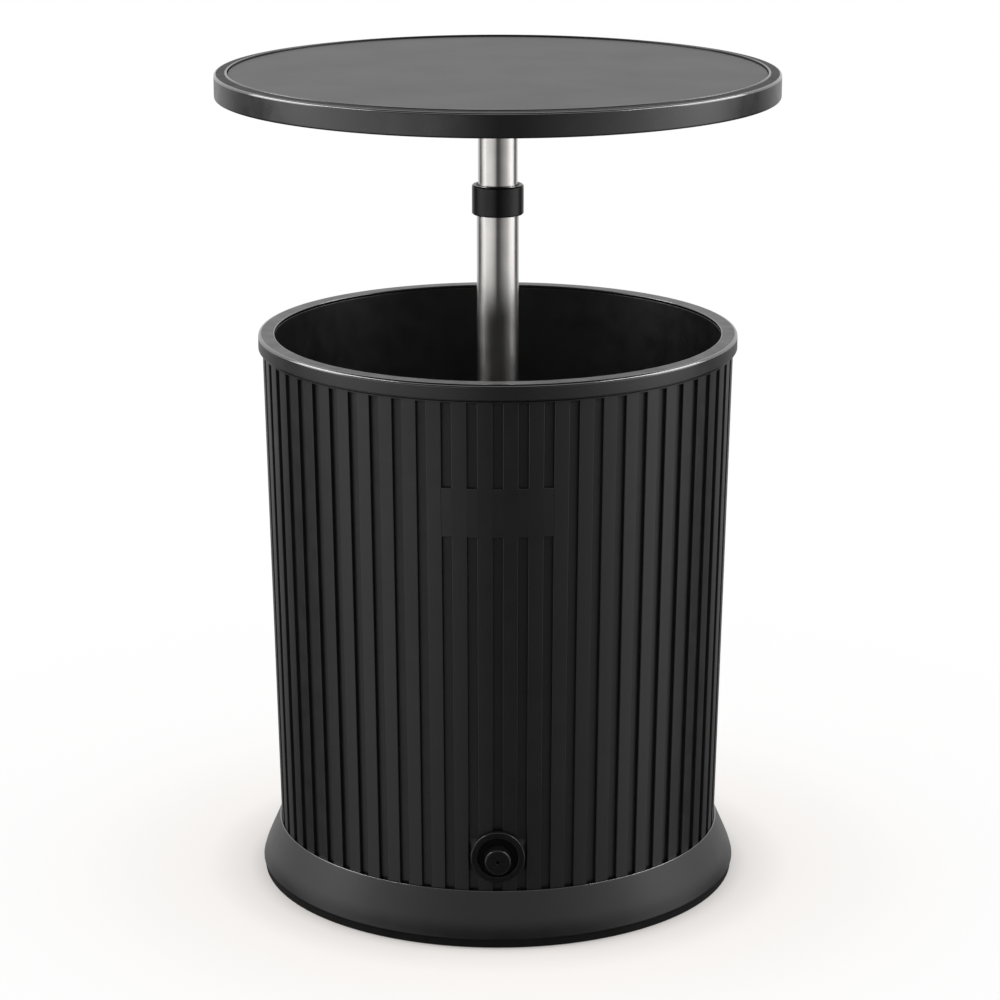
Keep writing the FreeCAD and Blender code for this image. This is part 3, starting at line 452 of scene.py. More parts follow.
# %% Grained inlay
def grained_inlay():
    """The pebbled plastic of the table's plate."""
    material, tree, shader, place = start_material("inlay_plastic")
    shader.inputs["IOR"].default_value = 1.49
    clouds = noise(tree, place, 5.0, 6.0)
    colour_drift(tree, shader, clouds, (0.0365, 0.0356, 0.0368), (0.0335, 0.0327, 0.0338))
    gloss_drift(tree, shader, noise(tree, place, 12.0, 4.0), 0.47, 0.51)
    pebbles = add_node(tree, "TexVoronoi", {"Scale": 520.0}, feature="SMOOTH_F1")
    join(tree, place, "Object", pebbles, "Vector")
    grain(tree, shader, pebbles, "Distance", 0.25, 0.25 * MM)
    return material


inlay_plastic = grained_inlay()
print("inlay grain ready")

# %% [markdown]
# The tubes are polished steel. They turn while they are polished, which leaves
# faint lines round them, and a noise squeezed in Z gives those. Lines too fine
# to model stretch each highlight along the tube, and for them the shader has
# its anisotropy. Fingers leave cloudy patches that are a little rougher. Screws
# are zinc plated, which is duller.

# %% Metals
def bright_metal(name, light, dark, smooth, rough, stretch, line_strength, brushed=0.0):
    """A bare metal with lines; brushed is how far they stretch its highlights."""
    material, tree, shader, place = start_material(name)
    shader.inputs["Metallic"].default_value = 1.0
    shader.inputs["Anisotropic"].default_value = brushed
    shader.inputs["Anisotropic Rotation"].default_value = 0.25
    colour_drift(tree, shader, noise(tree, place, 20.0, 4.0), light, dark)
    gloss_drift(tree, shader, noise(tree, place, 45.0, 5.0), smooth, rough)
    lines = noise(tree, place, 1.0, 3.0, stretch)
    grain(tree, shader, lines, "Fac", line_strength, 0.05 * MM)
    return material


tube_steel = bright_metal("tube_steel", (0.98, 0.950, 0.925), (0.93, 0.900, 0.875), 0.18, 0.21,
                          (2, 2, 900), 0.01, brushed=0.90)
screw_steel = bright_metal("screw_steel", (0.60, 0.61, 0.62), (0.48, 0.49, 0.50), 0.28, 0.42,
                           (700, 700, 700), 0.15)
print("two metals")

# %% [markdown]
# Rubber is matt and slightly dusty: the foot band, the seals and the washers.
# The foam between the two walls of the tub is never seen in use, but it is
# there, so it gets its cream colour and its open cells. Both are made as the
# plastics are, with more roughness, and the foam's cells are Voronoi ones.

# %% Rubber and foam
def matt_rubber(name, colour):
    """A dull rubber with a little dust on it."""
    material, tree, shader, place = start_material(name)
    shader.inputs["Specular IOR Level"].default_value = 0.15
    dusty = [channel * 1.5 for channel in colour]
    colour_drift(tree, shader, noise(tree, place, 60.0, 6.0), dusty, colour)
    gloss_drift(tree, shader, noise(tree, place, 80.0, 3.0), 0.62, 0.78)
    grain(tree, shader, noise(tree, place, 1600.0, 2.0), "Fac", 0.2, 0.1 * MM)
    return material


def open_foam():
    """Cream foam with open cells."""
    material, tree, shader, place = start_material("foam")
    colour_drift(tree, shader, noise(tree, place, 25.0, 4.0), (0.86, 0.82, 0.70), (0.76, 0.71, 0.58))
    gloss_drift(tree, shader, noise(tree, place, 50.0, 2.0), 0.85, 0.95)
    cells = add_node(tree, "TexVoronoi", {"Scale": 900.0})
    join(tree, place, "Object", cells, "Vector")
    grain(tree, shader, cells, "Distance", 0.6, 0.6 * MM)
    return material


foot_rubber = matt_rubber("foot_rubber", (0.0075, 0.0074, 0.0075))
seal_rubber = matt_rubber("seal_rubber", (0.0060, 0.0060, 0.0060))
# near black: painted shade for the drain's deep recess and dimple
recess_shade_rubber = matt_rubber("recess_shade_rubber", (0.0012, 0.0012, 0.0012))
foam = open_foam()
print("rubber and foam")

# %% [markdown]
# ## Tools for turned pieces
#
# A cooler table is mostly turned forms. Cylinders with bevels could be stacked
# up for them, but one tool does it all: it takes an outline of (radius, height)
# corners, rounds each corner by the radius written beside it, and sweeps the
# outline round an axis. The small roundings matter: each one catches a thin
# line of light, as on a moulding.

# %% Outline with rounded corners
MOST_OF_A_SIDE = 0.45                  # a rounding takes no more of a side than this


def rounded(corners, steps=4):
    """The points of a closed outline whose (x, y, rounding) corners are rounded off."""
    points = []
    for index, (x, y, rounding) in enumerate(corners):
        here = Vector((x, y))
        before = Vector(corners[index - 1][:2]) - here
        after = Vector(corners[(index + 1) % len(corners)][:2]) - here
        if rounding == 0:
            points.append(here)
            continue
        reach = rounding / math.tan(before.angle(after) / 2)
        start = here + before.normalized() * min(reach, before.length * MOST_OF_A_SIDE)
        end = here + after.normalized() * min(reach, after.length * MOST_OF_A_SIDE)
        for step in range(steps + 1):
            share = step / steps
            points.append(start * (1 - share) ** 2 + here * 2 * share * (1 - share) + end * share ** 2)
    return points


print("a rounding has", len(rounded([(0, 0, 0), (1, 0, 0.1), (1, 1, 0)])) - 2, "points")

# %% Skin over a grid of points
SMOOTH_BELOW = math.radians(38)        # edges that bend more than this stay sharp


def smooth_piece(name, shape):
    """An object from a bmesh, smooth but for its sharp edges."""
    bmesh.ops.remove_doubles(shape, verts=shape.verts, dist=1e-6)
    bmesh.ops.recalc_face_normals(shape, faces=shape.faces)
    mesh = bpy.data.meshes.new(name)
    shape.to_mesh(mesh)
    shape.free()
    mesh.shade_smooth()
    mesh.set_sharp_from_angle(angle=SMOOTH_BELOW)
    piece = bpy.data.objects.new(name, mesh)
    bpy.context.scene.collection.objects.link(piece)
    return piece


def ring_grid(name, rows, columns, place, finish=None):
    """A closed skin through place(row, column), joined up both ways.

    finish(rows, columns) gives the number of a face's material.
    """
    shape = bmesh.new()
    grid = [[shape.verts.new(place(row, column)) for column in columns] for row in rows]
    for index, line in enumerate(grid):
        above = (index + 1) % len(grid)
        following = grid[above]
        for turn in range(len(columns)):
            beside = (turn + 1) % len(columns)
            face = shape.faces.new((line[turn], line[beside], following[beside], following[turn]))
            if finish:
                corners = (rows[index], rows[above]), (columns[turn], columns[beside])
                face.material_index = finish(*corners)
    return smooth_piece(name, shape)


print("a bend over", round(math.degrees(SMOOTH_BELOW)), "degrees stays sharp")

# %% Lathe
def even_turns(count):
    """Angles all round the axis, in even steps."""
    return [2 * math.pi * step / count for step in range(count)]


def lathe(name, corners, around=160, axis=Matrix.Identity(4)):
    """A turned piece from rounded (radius, height, rounding) corners."""
    def place(point, turn):
        return axis @ Vector((point.x * math.cos(turn), point.x * math.sin(turn), point.y))
    return ring_grid(name, rounded(corners), even_turns(around), place)


print("lathe ready")

# %% Second finish on a turned piece
def finish_near(piece, material, corners, reach, axis=Matrix.Identity(4)):
    """Give the faces near turned (radius, height) corners another material."""
    piece.data.materials.append(material)
    upright = axis.inverted()
    for face in piece.data.polygons:
        center = upright @ face.center
        middle = Vector((math.hypot(center.x, center.y), center.z))
        if min((middle - Vector(corner)).length for corner in corners) < reach:
            face.material_index = len(piece.data.materials) - 1


print("second finishes ready")

# %% Set a piece in its place
def set_piece(piece, body, slot, material, *nodes):
    """Give a piece its material and body, and let it stand for CAD nodes."""
    piece.data.materials.append(material)
    shading = piece.modifiers.new("flat faces shade flat", "WEIGHTED_NORMAL")
    shading.keep_sharp = True
    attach(piece, body)
    if nodes:
        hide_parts(*nodes)
    return piece


def dress_nodes(material, *nodes):
    """CAD nodes whose shape is right stay, and take a finish."""
    for node in nodes:
        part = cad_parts[node]
        part.data.materials.clear()
        part.data.materials.append(material)


print("pieces can be set")

# %% [markdown]
# ## Tub: the fluted outer shell
#
# Sixty upright grooves run round the tub, so its wall looks ribbed. Each ends
# square just under the rim, and the five at the front stop at a plain panel.
# A boolean of sixty cutters would work, but its edges would be knife sharp. A
# grid is better here: the columns follow one groove's cross section sixty
# times, the rows follow the wall's height, and the depth at a crossing is the
# product of the two, so every corner comes out rounded. The same product tells
# which of the three finishes a face gets: rib, eased corner or groove. Under
# the rim a narrow step goes round, and its shadow is the rim's dark line.

# %% Groove sizes
FLUTES = 60
FLUTE_HALF = math.radians(1.2)
FLUTE_DEPTH = 3.5 * MM
FLUTE_LOW, FLUTE_HIGH = 48 * MM, 554.5 * MM
PANEL_LOW, PANEL_HIGH = 421 * MM, 470 * MM
PANEL_FLUTES = 2                       # grooves on each side of the middle one
PANEL_SEAM = 0.35 * MM                 # the fine line where the panel was set into the mould
RIB_CORNER = 0.6 * MM
SHELL_FOOT, SHELL_FOOT_RADIUS = 54 * MM, 229 * MM
SHELL_WALL = 5.5 * MM
shell_low, shell_high = (corner.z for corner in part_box("outer_shell"))
shell_top_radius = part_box("outer_shell")[1].x
CORNER_SHARE = 0.2                     # an eased corner lies within this share of the depth
DRAIN_HEIGHT = 91 * MM
DRAIN_SEAT, DRAIN_SEAT_RADIUS = 229.19 * MM, 23 * MM
DRAIN_ROWS, DRAIN_STEP = 9, 3 * MM     # the grid is finer near the drain's flat seat


def shell_radius(height):
    """How wide the tapered wall is at a height."""
    rise = (height - SHELL_FOOT) / (shell_high - SHELL_FOOT)
    return SHELL_FOOT_RADIUS + (shell_top_radius - SHELL_FOOT_RADIUS) * rise


rib_width = shell_radius((shell_low + shell_high) / 2) * (math.tau / FLUTES - 2 * FLUTE_HALF)
print("a rib is", round(rib_width / MM, 1), "mm wide")

# %% Columns of the shell
def side_of_groove(edge, inward):
    """(place, share of the depth) down one side of a groove, with eased corners."""
    shares = ((-1.0, 0.0), (-0.5, 0.023), (-0.134, 0.086), (0.0, 0.171), (0.15, 0.88), (0.5, 1.0))
    return [(edge + inward * RIB_CORNER * step, share) for step, share in shares]


def shell_columns():
    """(angle, depth share, is it the panel's groove, is it the panel's side) round the shell."""
    columns = []
    across = shell_radius((shell_low + shell_high) / 2)
    left = side_of_groove(-FLUTE_HALF * across, 1)
    right = side_of_groove(FLUTE_HALF * across, -1)
    for flute in range(FLUTES):
        middle = math.tau * flute / FLUTES - math.pi / 2
        on_panel = min(flute, FLUTES - flute) <= PANEL_FLUTES
        walls = [(offset, share, flute == FLUTES - PANEL_FLUTES) for offset, share in left]
        walls += [(offset, share, flute == PANEL_FLUTES) for offset, share in reversed(right)]
        for offset, share, at_side in walls:
            seam = at_side and 0 < share < CORNER_SHARE
            columns.append((middle + offset / across, share, on_panel, seam))
        columns.append((middle + math.pi / FLUTES, 0.0, on_panel, False))
    return columns


print("shell has", len(shell_columns()), "columns")

# %% Rows of the shell
rim_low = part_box("rim_ring")[0].z
GAP, GAP_DEPTH = 2.8 * MM, 1.6 * MM    # the step that leaves a dark line under the rim's band
shadow_gap = ((rim_low - GAP, 0.0), (rim_low - GAP + 0.2 * MM, GAP_DEPTH),
              (rim_low + 0.4 * MM, GAP_DEPTH), (rim_low + 0.6 * MM, 0.0), (shell_high, 0.0))


def shell_rows():
    """(radius, height, depth share, depth share on the panel) up the outside and down the inside."""
    rows = [(shell_low, 0.0, 1.0)]
    rows += [(height, share, 1.0) for height, share in side_of_groove(FLUTE_LOW, 1)]
    drain_rows = range(-DRAIN_ROWS, DRAIN_ROWS + 1)
    rows += [(DRAIN_HEIGHT + step * DRAIN_STEP, 1.0, 1.0) for step in drain_rows]
    rows += [(height, 1.0, share) for height, share in reversed(side_of_groove(PANEL_LOW, -1))]
    rows += [(height, 1.0, share) for height, share in side_of_groove(PANEL_HIGH, 1)]
    rows += [(height, share, 1.0) for height, share in reversed(side_of_groove(FLUTE_HIGH, -1))]
    outside = [(shell_radius(height), height, share, panel) for height, share, panel in rows]
    outside += [(shell_radius(height) - depth, height, 0.0, 1.0) for height, depth in shadow_gap]
    inside = [(shell_radius(height) - SHELL_WALL, height, 0.0, 1.0) for height in (shell_high, shell_low)]
    return outside + inside


print("shell has", len(shell_rows()), "rows")

# %% Fluted shell
RIB_SHARE = 0.005                      # a face less deep than this share is plain rib


def groove_share(row, column):
    """How deep a crossing lies: 0 on a rib, 1 on a groove's floor."""
    share, on_panel_share = row[2:]
    depth, on_panel = column[1:3]
    return share * depth * (on_panel_share if on_panel else 1.0)


def shell_finish(rows, columns):
    """0 on a rib or the plain wall, 1 on a rib's eased corner, 2 in a groove."""
    mean = sum(groove_share(row, column) for row in rows for column in columns) / 4
    if mean < RIB_SHARE:
        return 0
    return 1 if mean < CORNER_SHARE else 2


def shell_point(row, column):
    """The point at a crossing, pressed flat where the drain sits."""
    radius, height, share, on_panel_share = row
    turn, depth, on_panel, at_side = column
    radius -= FLUTE_DEPTH * groove_share(row, column)
    if at_side:
        radius -= PANEL_SEAM * (1.0 - on_panel_share)
    point = Vector((radius * math.cos(turn), radius * math.sin(turn), height))
    from_drain = math.hypot(point.x, point.z - DRAIN_HEIGHT)
    if share and point.y < 0 and from_drain < DRAIN_SEAT_RADIUS:
        point.y = -DRAIN_SEAT
    return point


fluted_shell = ring_grid("fluted_shell", shell_rows(), shell_columns(), shell_point, shell_finish)
set_piece(fluted_shell, "tub", "shell_plastic", shell_plastic, "outer_shell")
for finish in (corner_plastic, groove_plastic):
    fluted_shell.data.materials.append(finish)
print("fluted shell has", len(fluted_shell.data.polygons), "faces")

# %% [markdown]
# ## Tub: rim and liner
#
# A snap-on rim covers the top of both walls: a flat ring with a short band
# down the outside. Its outer shoulder is eased, and that is where the long
# highlights sit. Inside hangs the liner, a smooth bucket with a rounded floor
# corner and a flange under the rim. A bent pipe would do for a simple rim, but
# an outline on the lathe also gives the band and the walls their real thickness.

# %% Rim
rim_radius, _, rim_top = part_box("rim_ring")[1]
RIM_FLAT = 16.5 * MM
RIM_PLATE = 3 * MM
BAND_INNER = 240.3 * MM
SHOULDER, EDGE_REACH = 3.0 * MM, 2.8 * MM
rim_inner = rim_radius - RIM_FLAT
rim = lathe("rim", [
    (rim_inner, rim_top - RIM_PLATE, 0.4 * MM),
    (BAND_INNER, rim_top - RIM_PLATE, 0),
    (BAND_INNER, rim_low, 0.3 * MM),
    (rim_radius, rim_low, 0.8 * MM),
    (rim_radius, rim_top, SHOULDER),
    (rim_inner, rim_top, 1.0 * MM),
], around=240)
set_piece(rim, "tub", "rim_plastic", rim_plastic, "rim_ring")
# The rim's edges take the lighter edge plastic: besides the lamps' real highlight, its grey paints a light
# line along them.
rim_edges = [(rim_radius, rim_top), (rim_radius, rim_low), (rim_inner, rim_top)]
finish_near(rim, edge_plastic, rim_edges, EDGE_REACH)
print("rim is", round(rim_radius * 2, 3), "m across")

# %% Liner
LINER_WALL = 3 * MM
LINER_FLOOR, LINER_FLOOR_RADIUS = 72 * MM, 206 * MM
LINER_CORNER = 10 * MM
flange_top = rim_top - RIM_PLATE
FLANGE_RADIUS = 238 * MM
liner = lathe("liner", [
    (0, LINER_FLOOR, 0),
    (LINER_FLOOR_RADIUS, LINER_FLOOR, LINER_CORNER),
    (rim_inner, flange_top, 0.8 * MM),
    (FLANGE_RADIUS, flange_top, 0.5 * MM),
    (FLANGE_RADIUS, flange_top - LINER_WALL, 0.5 * MM),
    (rim_inner + LINER_WALL, flange_top - LINER_WALL, 0.8 * MM),
    (LINER_FLOOR_RADIUS + LINER_WALL, LINER_FLOOR - LINER_WALL, LINER_CORNER + LINER_WALL),
    (0, LINER_FLOOR - LINER_WALL, 0),
], around=200)
set_piece(liner, "tub", "liner_plastic", liner_plastic, "inner_liner")
dress_nodes(foam, "wall_foam", "floor_foam")
print("liner floor is at", round(LINER_FLOOR / MM), "mm")

# %% [markdown]
# ## Base
#
# The tub stands in a flared skirt like a flower pot on its stand. Its thin top
# edge clasps the fluted wall, and a black rubber band carries it on the floor.
# A cone with a solidify modifier would come near, but the skirt's wall turns
# steeper near the foot and has a ledge inside, so it is an outline too, with a
# long soft rounding at that knee. A ribbed pan closes the space under the tub.
# It is seen only from below, and its CAD shape is right, so it keeps that shape
# and gets a finish.

# %% Skirt and foot
SKIRT_LIP = 1.5 * MM
SKIRT_WALL = 3 * MM
KNEE_RADIUS, KNEE_HEIGHT, KNEE_EASE = 245.8 * MM, 20 * MM, 120 * MM
LEDGE_RADIUS, LEDGE_TOP, LEDGE_PLATE = 208 * MM, 40 * MM, 4 * MM
LEDGE_ROOT = 237 * MM                  # where the ledge's underside meets the skirt's wall
skirt_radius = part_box("base_skirt")[1].x
skirt_foot, skirt_top = (corner.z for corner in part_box("base_skirt"))
LIP_INNER = 229.3 * MM
skirt = lathe("skirt", [
    (LIP_INNER, skirt_top, 0.3 * MM),
    (LIP_INNER + SKIRT_LIP, skirt_top, 0.7 * MM),
    (KNEE_RADIUS, KNEE_HEIGHT, KNEE_EASE),
    (skirt_radius, skirt_foot, 1.5 * MM),
    (skirt_radius - SKIRT_WALL, skirt_foot, 0.4 * MM),
    (KNEE_RADIUS - SKIRT_WALL, KNEE_HEIGHT, 8 * MM),
    (LEDGE_ROOT, LEDGE_TOP - LEDGE_PLATE, 1 * MM),
    (LEDGE_RADIUS, LEDGE_TOP - LEDGE_PLATE, 0.5 * MM),
    (LEDGE_RADIUS, LEDGE_TOP, 0.5 * MM),
    (LIP_INNER, LEDGE_TOP, 0.5 * MM),
], around=240)
set_piece(skirt, "tub", "base_plastic", base_plastic, "base_skirt")
# Its thin top edge takes the lighter edge plastic, which paints a light line along it.
finish_near(skirt, edge_plastic, [(LIP_INNER + SKIRT_LIP, skirt_top)], SKIRT_LIP)

foot_radius, _, foot_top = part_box("foot_ring")[1]
FOOT_WIDTH = 11 * MM
foot_band = lathe("foot_band", [
    (foot_radius - FOOT_WIDTH, 0, 1.2 * MM),
    (foot_radius, 0, 1.6 * MM),
    (foot_radius, foot_top, 0.4 * MM),
    (foot_radius - FOOT_WIDTH, foot_top, 0.4 * MM),
], around=240)
set_piece(foot_band, "tub", "foot_rubber", foot_rubber, "foot_ring")
dress_nodes(base_plastic, "base_pan")
print("foot band is", round(foot_radius * 2, 3), "m across")

# %% [markdown]
# ## Drain
#
# Water leaves through a spout at the front. A round bezel with a sunken face
# holds a pull plug with a small dimple in its end. They could be turned upright
# and laid down afterwards. Here the lathe gets a matrix that lays its own upright
# axis along -Y, so that each height below is a distance from the column's axis.

# %% Bezel
level_axis = Matrix.Translation((0, 0, DRAIN_HEIGHT)) @ Matrix.Rotation(math.pi / 2, 4, "X")
WASHER = 1.5 * MM
BEZEL_RADIUS, BEZEL = 27 * MM, 4.5 * MM
RECESS_RADIUS, RECESS = 20.4 * MM, 3 * MM
DRAIN_EDGE = 1.2 * MM                  # how far the lighter edge finish reaches; its grey paints a highlight line
SPOUT_RADIUS, SPOUT_BORE = 11 * MM, 7 * MM
bezel_back = DRAIN_SEAT + WASHER
bezel_face = bezel_back + BEZEL
recess_face = bezel_face - RECESS
spout_end = -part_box("drain_spout")[1].y
drain_bezel = lathe("drain_bezel", [
    (SPOUT_BORE, spout_end, 0.3 * MM),
    (SPOUT_BORE, recess_face, 0.3 * MM),
    (RECESS_RADIUS, recess_face, 0.5 * MM),
    (RECESS_RADIUS, bezel_face, 0.7 * MM),
    (BEZEL_RADIUS, bezel_face, 1.6 * MM),
    (BEZEL_RADIUS, bezel_back, 0.4 * MM),
    (SPOUT_RADIUS, bezel_back, 0),
    (SPOUT_RADIUS, spout_end, 0.5 * MM),
], around=96, axis=level_axis)
set_piece(drain_bezel, "tub", "drain_plastic", drain_plastic, "drain_spout")
# The bezel's edges get the lighter soft edge plastic: a painted highlight line along them.
bezel_edges = [(BEZEL_RADIUS, bezel_face), (RECESS_RADIUS, bezel_face)]
finish_near(drain_bezel, soft_edge_plastic, bezel_edges, DRAIN_EDGE, level_axis)
print("bezel stands", round((bezel_face - DRAIN_SEAT) / MM, 1), "mm proud of its seat")

# %% Plug and washers
FIT = 0.3 * MM                         # the play of a running fit
PLUG_RADIUS, PLUG_DRAFT = 13.3 * MM, 0.3 * MM
DIMPLE_RADIUS, DIMPLE = 1.8 * MM, 2.4 * MM
STEM_RADIUS = 6.5 * MM
plug_low, plug_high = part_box("drain_plug")
plug_back, plug_face = recess_face + FIT, -plug_low.y
dimple_floor = plug_face - DIMPLE
drain_knob = lathe("drain_knob", [
    (0, -plug_high.y, 0),
    (STEM_RADIUS, -plug_high.y, 0.8 * MM),
    (STEM_RADIUS, plug_back, 0.3 * MM),
    (PLUG_RADIUS, plug_back, 0.5 * MM),
    (PLUG_RADIUS - PLUG_DRAFT, plug_face, 2.0 * MM),
    (DIMPLE_RADIUS, plug_face, 0.4 * MM),
    (DIMPLE_RADIUS, dimple_floor, 0.3 * MM),
    (0, dimple_floor, 0),
], around=72, axis=level_axis)
set_piece(drain_knob, "drain_plug", "drain_plastic", drain_plastic, "drain_plug")
PLUG_EDGE = 0.5 * MM                   # how far the middle of its rounding lies from the corner
# The plug's face edge gets the same lighter finish: a painted highlight line.
plug_edges = [(PLUG_RADIUS - PLUG_EDGE, plug_face - PLUG_EDGE)]
finish_near(drain_knob, soft_edge_plastic, plug_edges, DRAIN_EDGE, level_axis)
# The dimple's floor is near black: painted shade in the hole.
finish_near(drain_knob, recess_shade_rubber, [(DIMPLE_RADIUS / 2, dimple_floor)], DIMPLE_RADIUS, level_axis)

# A thin near-black gasket ring lies in the bezel's recess; its black paints the shade of the recess.
GASKET = 0.5 * MM
recess_shade_gasket = lathe("recess_shade_gasket", [
    (PLUG_RADIUS + FIT, recess_face, 0),
    (RECESS_RADIUS - FIT, recess_face, 0),
    (RECESS_RADIUS - FIT, recess_face + GASKET, 0.2 * MM),
    (PLUG_RADIUS + FIT, recess_face + GASKET, 0.2 * MM),
], around=96, axis=level_axis)
set_piece(recess_shade_gasket, "tub", "seal_rubber", recess_shade_rubber)
dress_nodes(seal_rubber, "drain_plug_ring", "drain_outer_washer", "drain_inner_washer")
print("plug is", round(PLUG_RADIUS * 2 / MM, 1), "mm across")

# %% Hexagon nut
TURNED_END, END_SLOPE = 0.92, 0.6      # a nut's end circle against its corners, and its slope
THREAD_SPARE = 0.1 * MM


def hexagon_radius(turn, corner_radius):
    """How far a hexagon's side is from its middle at an angle."""
    beside = turn % (math.pi / 3) - math.pi / 6
    return corner_radius * math.cos(math.pi / 6) / math.cos(beside)


def hexagon_nut(name, corner_radius, bore, low, high, axis):
    """A nut whose corners are turned off to a circle at both ends, as real ones are."""
    turned = corner_radius * TURNED_END
    ease = (corner_radius - turned) * END_SLOPE
    rows = [(bore, low), (turned, low), (corner_radius, low + ease),
            (corner_radius, high - ease), (turned, high), (bore, high)]

    def place(row, turn):
        radius, height = row
        if radius > bore:
            radius = min(radius, hexagon_radius(turn, corner_radius))
        return axis @ Vector((radius * math.cos(turn), radius * math.sin(turn), height))

    return ring_grid(name, rows, even_turns(72), place)


print("nut tool ready")

# %% Boss and nut inside the tub
BOSS_RADIUS, BOSS = 15 * MM, 4 * MM
boss_face = -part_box("drain_inner_washer")[0].y
drain_boss = lathe("drain_boss", [
    (SPOUT_RADIUS + FIT, boss_face, 0.3 * MM),
    (BOSS_RADIUS, boss_face, 0.8 * MM),
    (BOSS_RADIUS, boss_face + BOSS, 0),
    (SPOUT_RADIUS + FIT, boss_face + BOSS, 0),
], around=64, axis=level_axis)
set_piece(drain_boss, "tub", "liner_plastic", liner_plastic, "inner_liner")
nut_low, nut_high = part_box("drain_nut")
drain_nut = hexagon_nut("drain_backnut", nut_high.x, SPOUT_RADIUS + THREAD_SPARE,
                        -nut_high.y, -nut_low.y, level_axis)
set_piece(drain_nut, "tub", "drain_plastic", drain_plastic, "drain_nut")
print("drain nut is", round(2 * nut_high.x / MM, 1), "mm over its corners")

# %% [markdown]
# ## Column: the black socket
#
# A black tube is screwed to the liner's floor and takes the steel tubes when
# the table goes down. Six gussets brace its flange. A gusset is a flat plate,
# so it is drawn as an outline, given a thickness, and its edges are eased by
# a bevel modifier.

# %% Gussets
GUSSETS, GUSSET_PLATE, GUSSET_EASE = 6, 4 * MM, 0.6 * MM
GUSSET_FOOT, GUSSET_TIP = 28 * MM, 1.5 * MM
GUSSET_SINK, GUSSET_BED = 1 * MM, 0.5 * MM  # how far it reaches into the wall and the flange


def add_prism(shape, near, far):
    """A solid between two outlines with as many corners each."""
    near, far = [[shape.verts.new(corner) for corner in outline] for outline in (near, far)]
    shape.faces.new(near)
    shape.faces.new(reversed(far))
    for index in range(len(near)):
        following = (index + 1) % len(near)
        shape.faces.new((near[index], far[index], far[following], near[following]))


def gussets(name, radius, face, rise, side):
    """Plates that brace a flange against its wall; side is 1 above it and -1 below."""
    inner, outer = radius - GUSSET_SINK, radius + GUSSET_FOOT
    bed, top = face - side * GUSSET_BED, face + side * rise
    corners = [(inner, bed), (outer, bed), (outer, face + side * GUSSET_TIP),
               (radius + GUSSET_TIP, top), (inner, top)]
    shape = bmesh.new()
    for turn in even_turns(GUSSETS):
        out = Vector((math.cos(turn), math.sin(turn), 0))
        beside = Vector((-out.y, out.x, 0)) * GUSSET_PLATE / 2
        middle = [out * x + Vector((0, 0, y)) for x, y in corners]
        add_prism(shape, [corner - beside for corner in middle], [corner + beside for corner in middle])
    piece = smooth_piece(name, shape)
    bevel = piece.modifiers.new("eased edges", "BEVEL")
    bevel.width = GUSSET_EASE
    bevel.segments = 2
    return piece


print("gusset tool ready")

# %% Socket
SOCKET_BORE, SOCKET_RADIUS, NECK_RADIUS = 23.4 * MM, 27.4 * MM, 25.9 * MM
SOCKET_TOP = 372 * MM
SOCKET_FLOOR = 4 * MM
SOCKET_FLANGE = 6 * MM
SOCKET_RISE = 45 * MM                  # how high its gussets reach
socket_low, neck_top = (corner.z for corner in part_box("column_socket"))
socket_flange_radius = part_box("socket_gasket")[1].x
flange_face = socket_low + SOCKET_FLANGE
socket = lathe("socket", [
    (0, socket_low, 0),
    (socket_flange_radius, socket_low, 0.5 * MM),
    (socket_flange_radius, flange_face, 1.5 * MM),
    (SOCKET_RADIUS, flange_face, 3.0 * MM),
    (SOCKET_RADIUS, SOCKET_TOP, 0.8 * MM),
    (NECK_RADIUS, SOCKET_TOP, 0.3 * MM),
    (NECK_RADIUS, neck_top, 0.5 * MM),
    (SOCKET_BORE, neck_top, 0.3 * MM),
    (SOCKET_BORE, socket_low + SOCKET_FLOOR, 1.0 * MM),
    (0, socket_low + SOCKET_FLOOR, 0),
], around=120)
set_piece(socket, "tub", "column_plastic", column_plastic, "column_socket")
socket_gussets = gussets("socket_gussets", SOCKET_RADIUS, flange_face, SOCKET_RISE, 1)
set_piece(socket_gussets, "tub", "column_plastic", column_plastic, "column_socket")
dress_nodes(seal_rubber, "socket_gasket")
dress_nodes(column_plastic, "lower_collet")
print("socket neck ends at", round(neck_top / MM), "mm")

# %% [markdown]
# ## Column: the two collars
#
# A twist collar locks each sliding tube. The lower one, down in the tub, has
# twelve finger scallops. Twelve cylinders could cut them by a boolean, but the
# arc of a round cutter has a simple formula, so the grid follows it and stays
# clean. The upper collar is plain, with eased shoulders and a funnel round the
# tube.

# %% Lower collar
COLLAR_RADIUS = 33 * MM
SCALLOPS, SCALLOP_RADIUS, SCALLOP_DEPTH = 12, 5 * MM, 1.5 * MM
POINTS_PER_SCALLOP = 20
COLLAR_CAP = 4 * MM
COLLAR_CHAMFER = 1.2 * MM
collar_low, collar_top = (corner.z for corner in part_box("lower_collar"))
lower_tube_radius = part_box("lower_tube")[1].x


def scallop_depth(turn):
    """How deep a round cutter beside the collar has gone at an angle."""
    pitch = math.tau / SCALLOPS
    beside = (turn + pitch / 2) % pitch - pitch / 2
    reach = COLLAR_RADIUS + SCALLOP_RADIUS - SCALLOP_DEPTH
    across = reach * math.sin(beside)
    if abs(across) >= SCALLOP_RADIUS:
        return 0.0
    edge = reach * math.cos(beside) - math.sqrt(SCALLOP_RADIUS ** 2 - across ** 2)
    return max(0.0, COLLAR_RADIUS - edge)


def collar_point(point, turn):
    """A point of the turned outline, cut back where a scallop passes."""
    radius = point.x
    if radius > COLLAR_RADIUS - 2 * COLLAR_CHAMFER:
        radius -= scallop_depth(turn)
    return Vector((radius * math.cos(turn), radius * math.sin(turn), point.y))


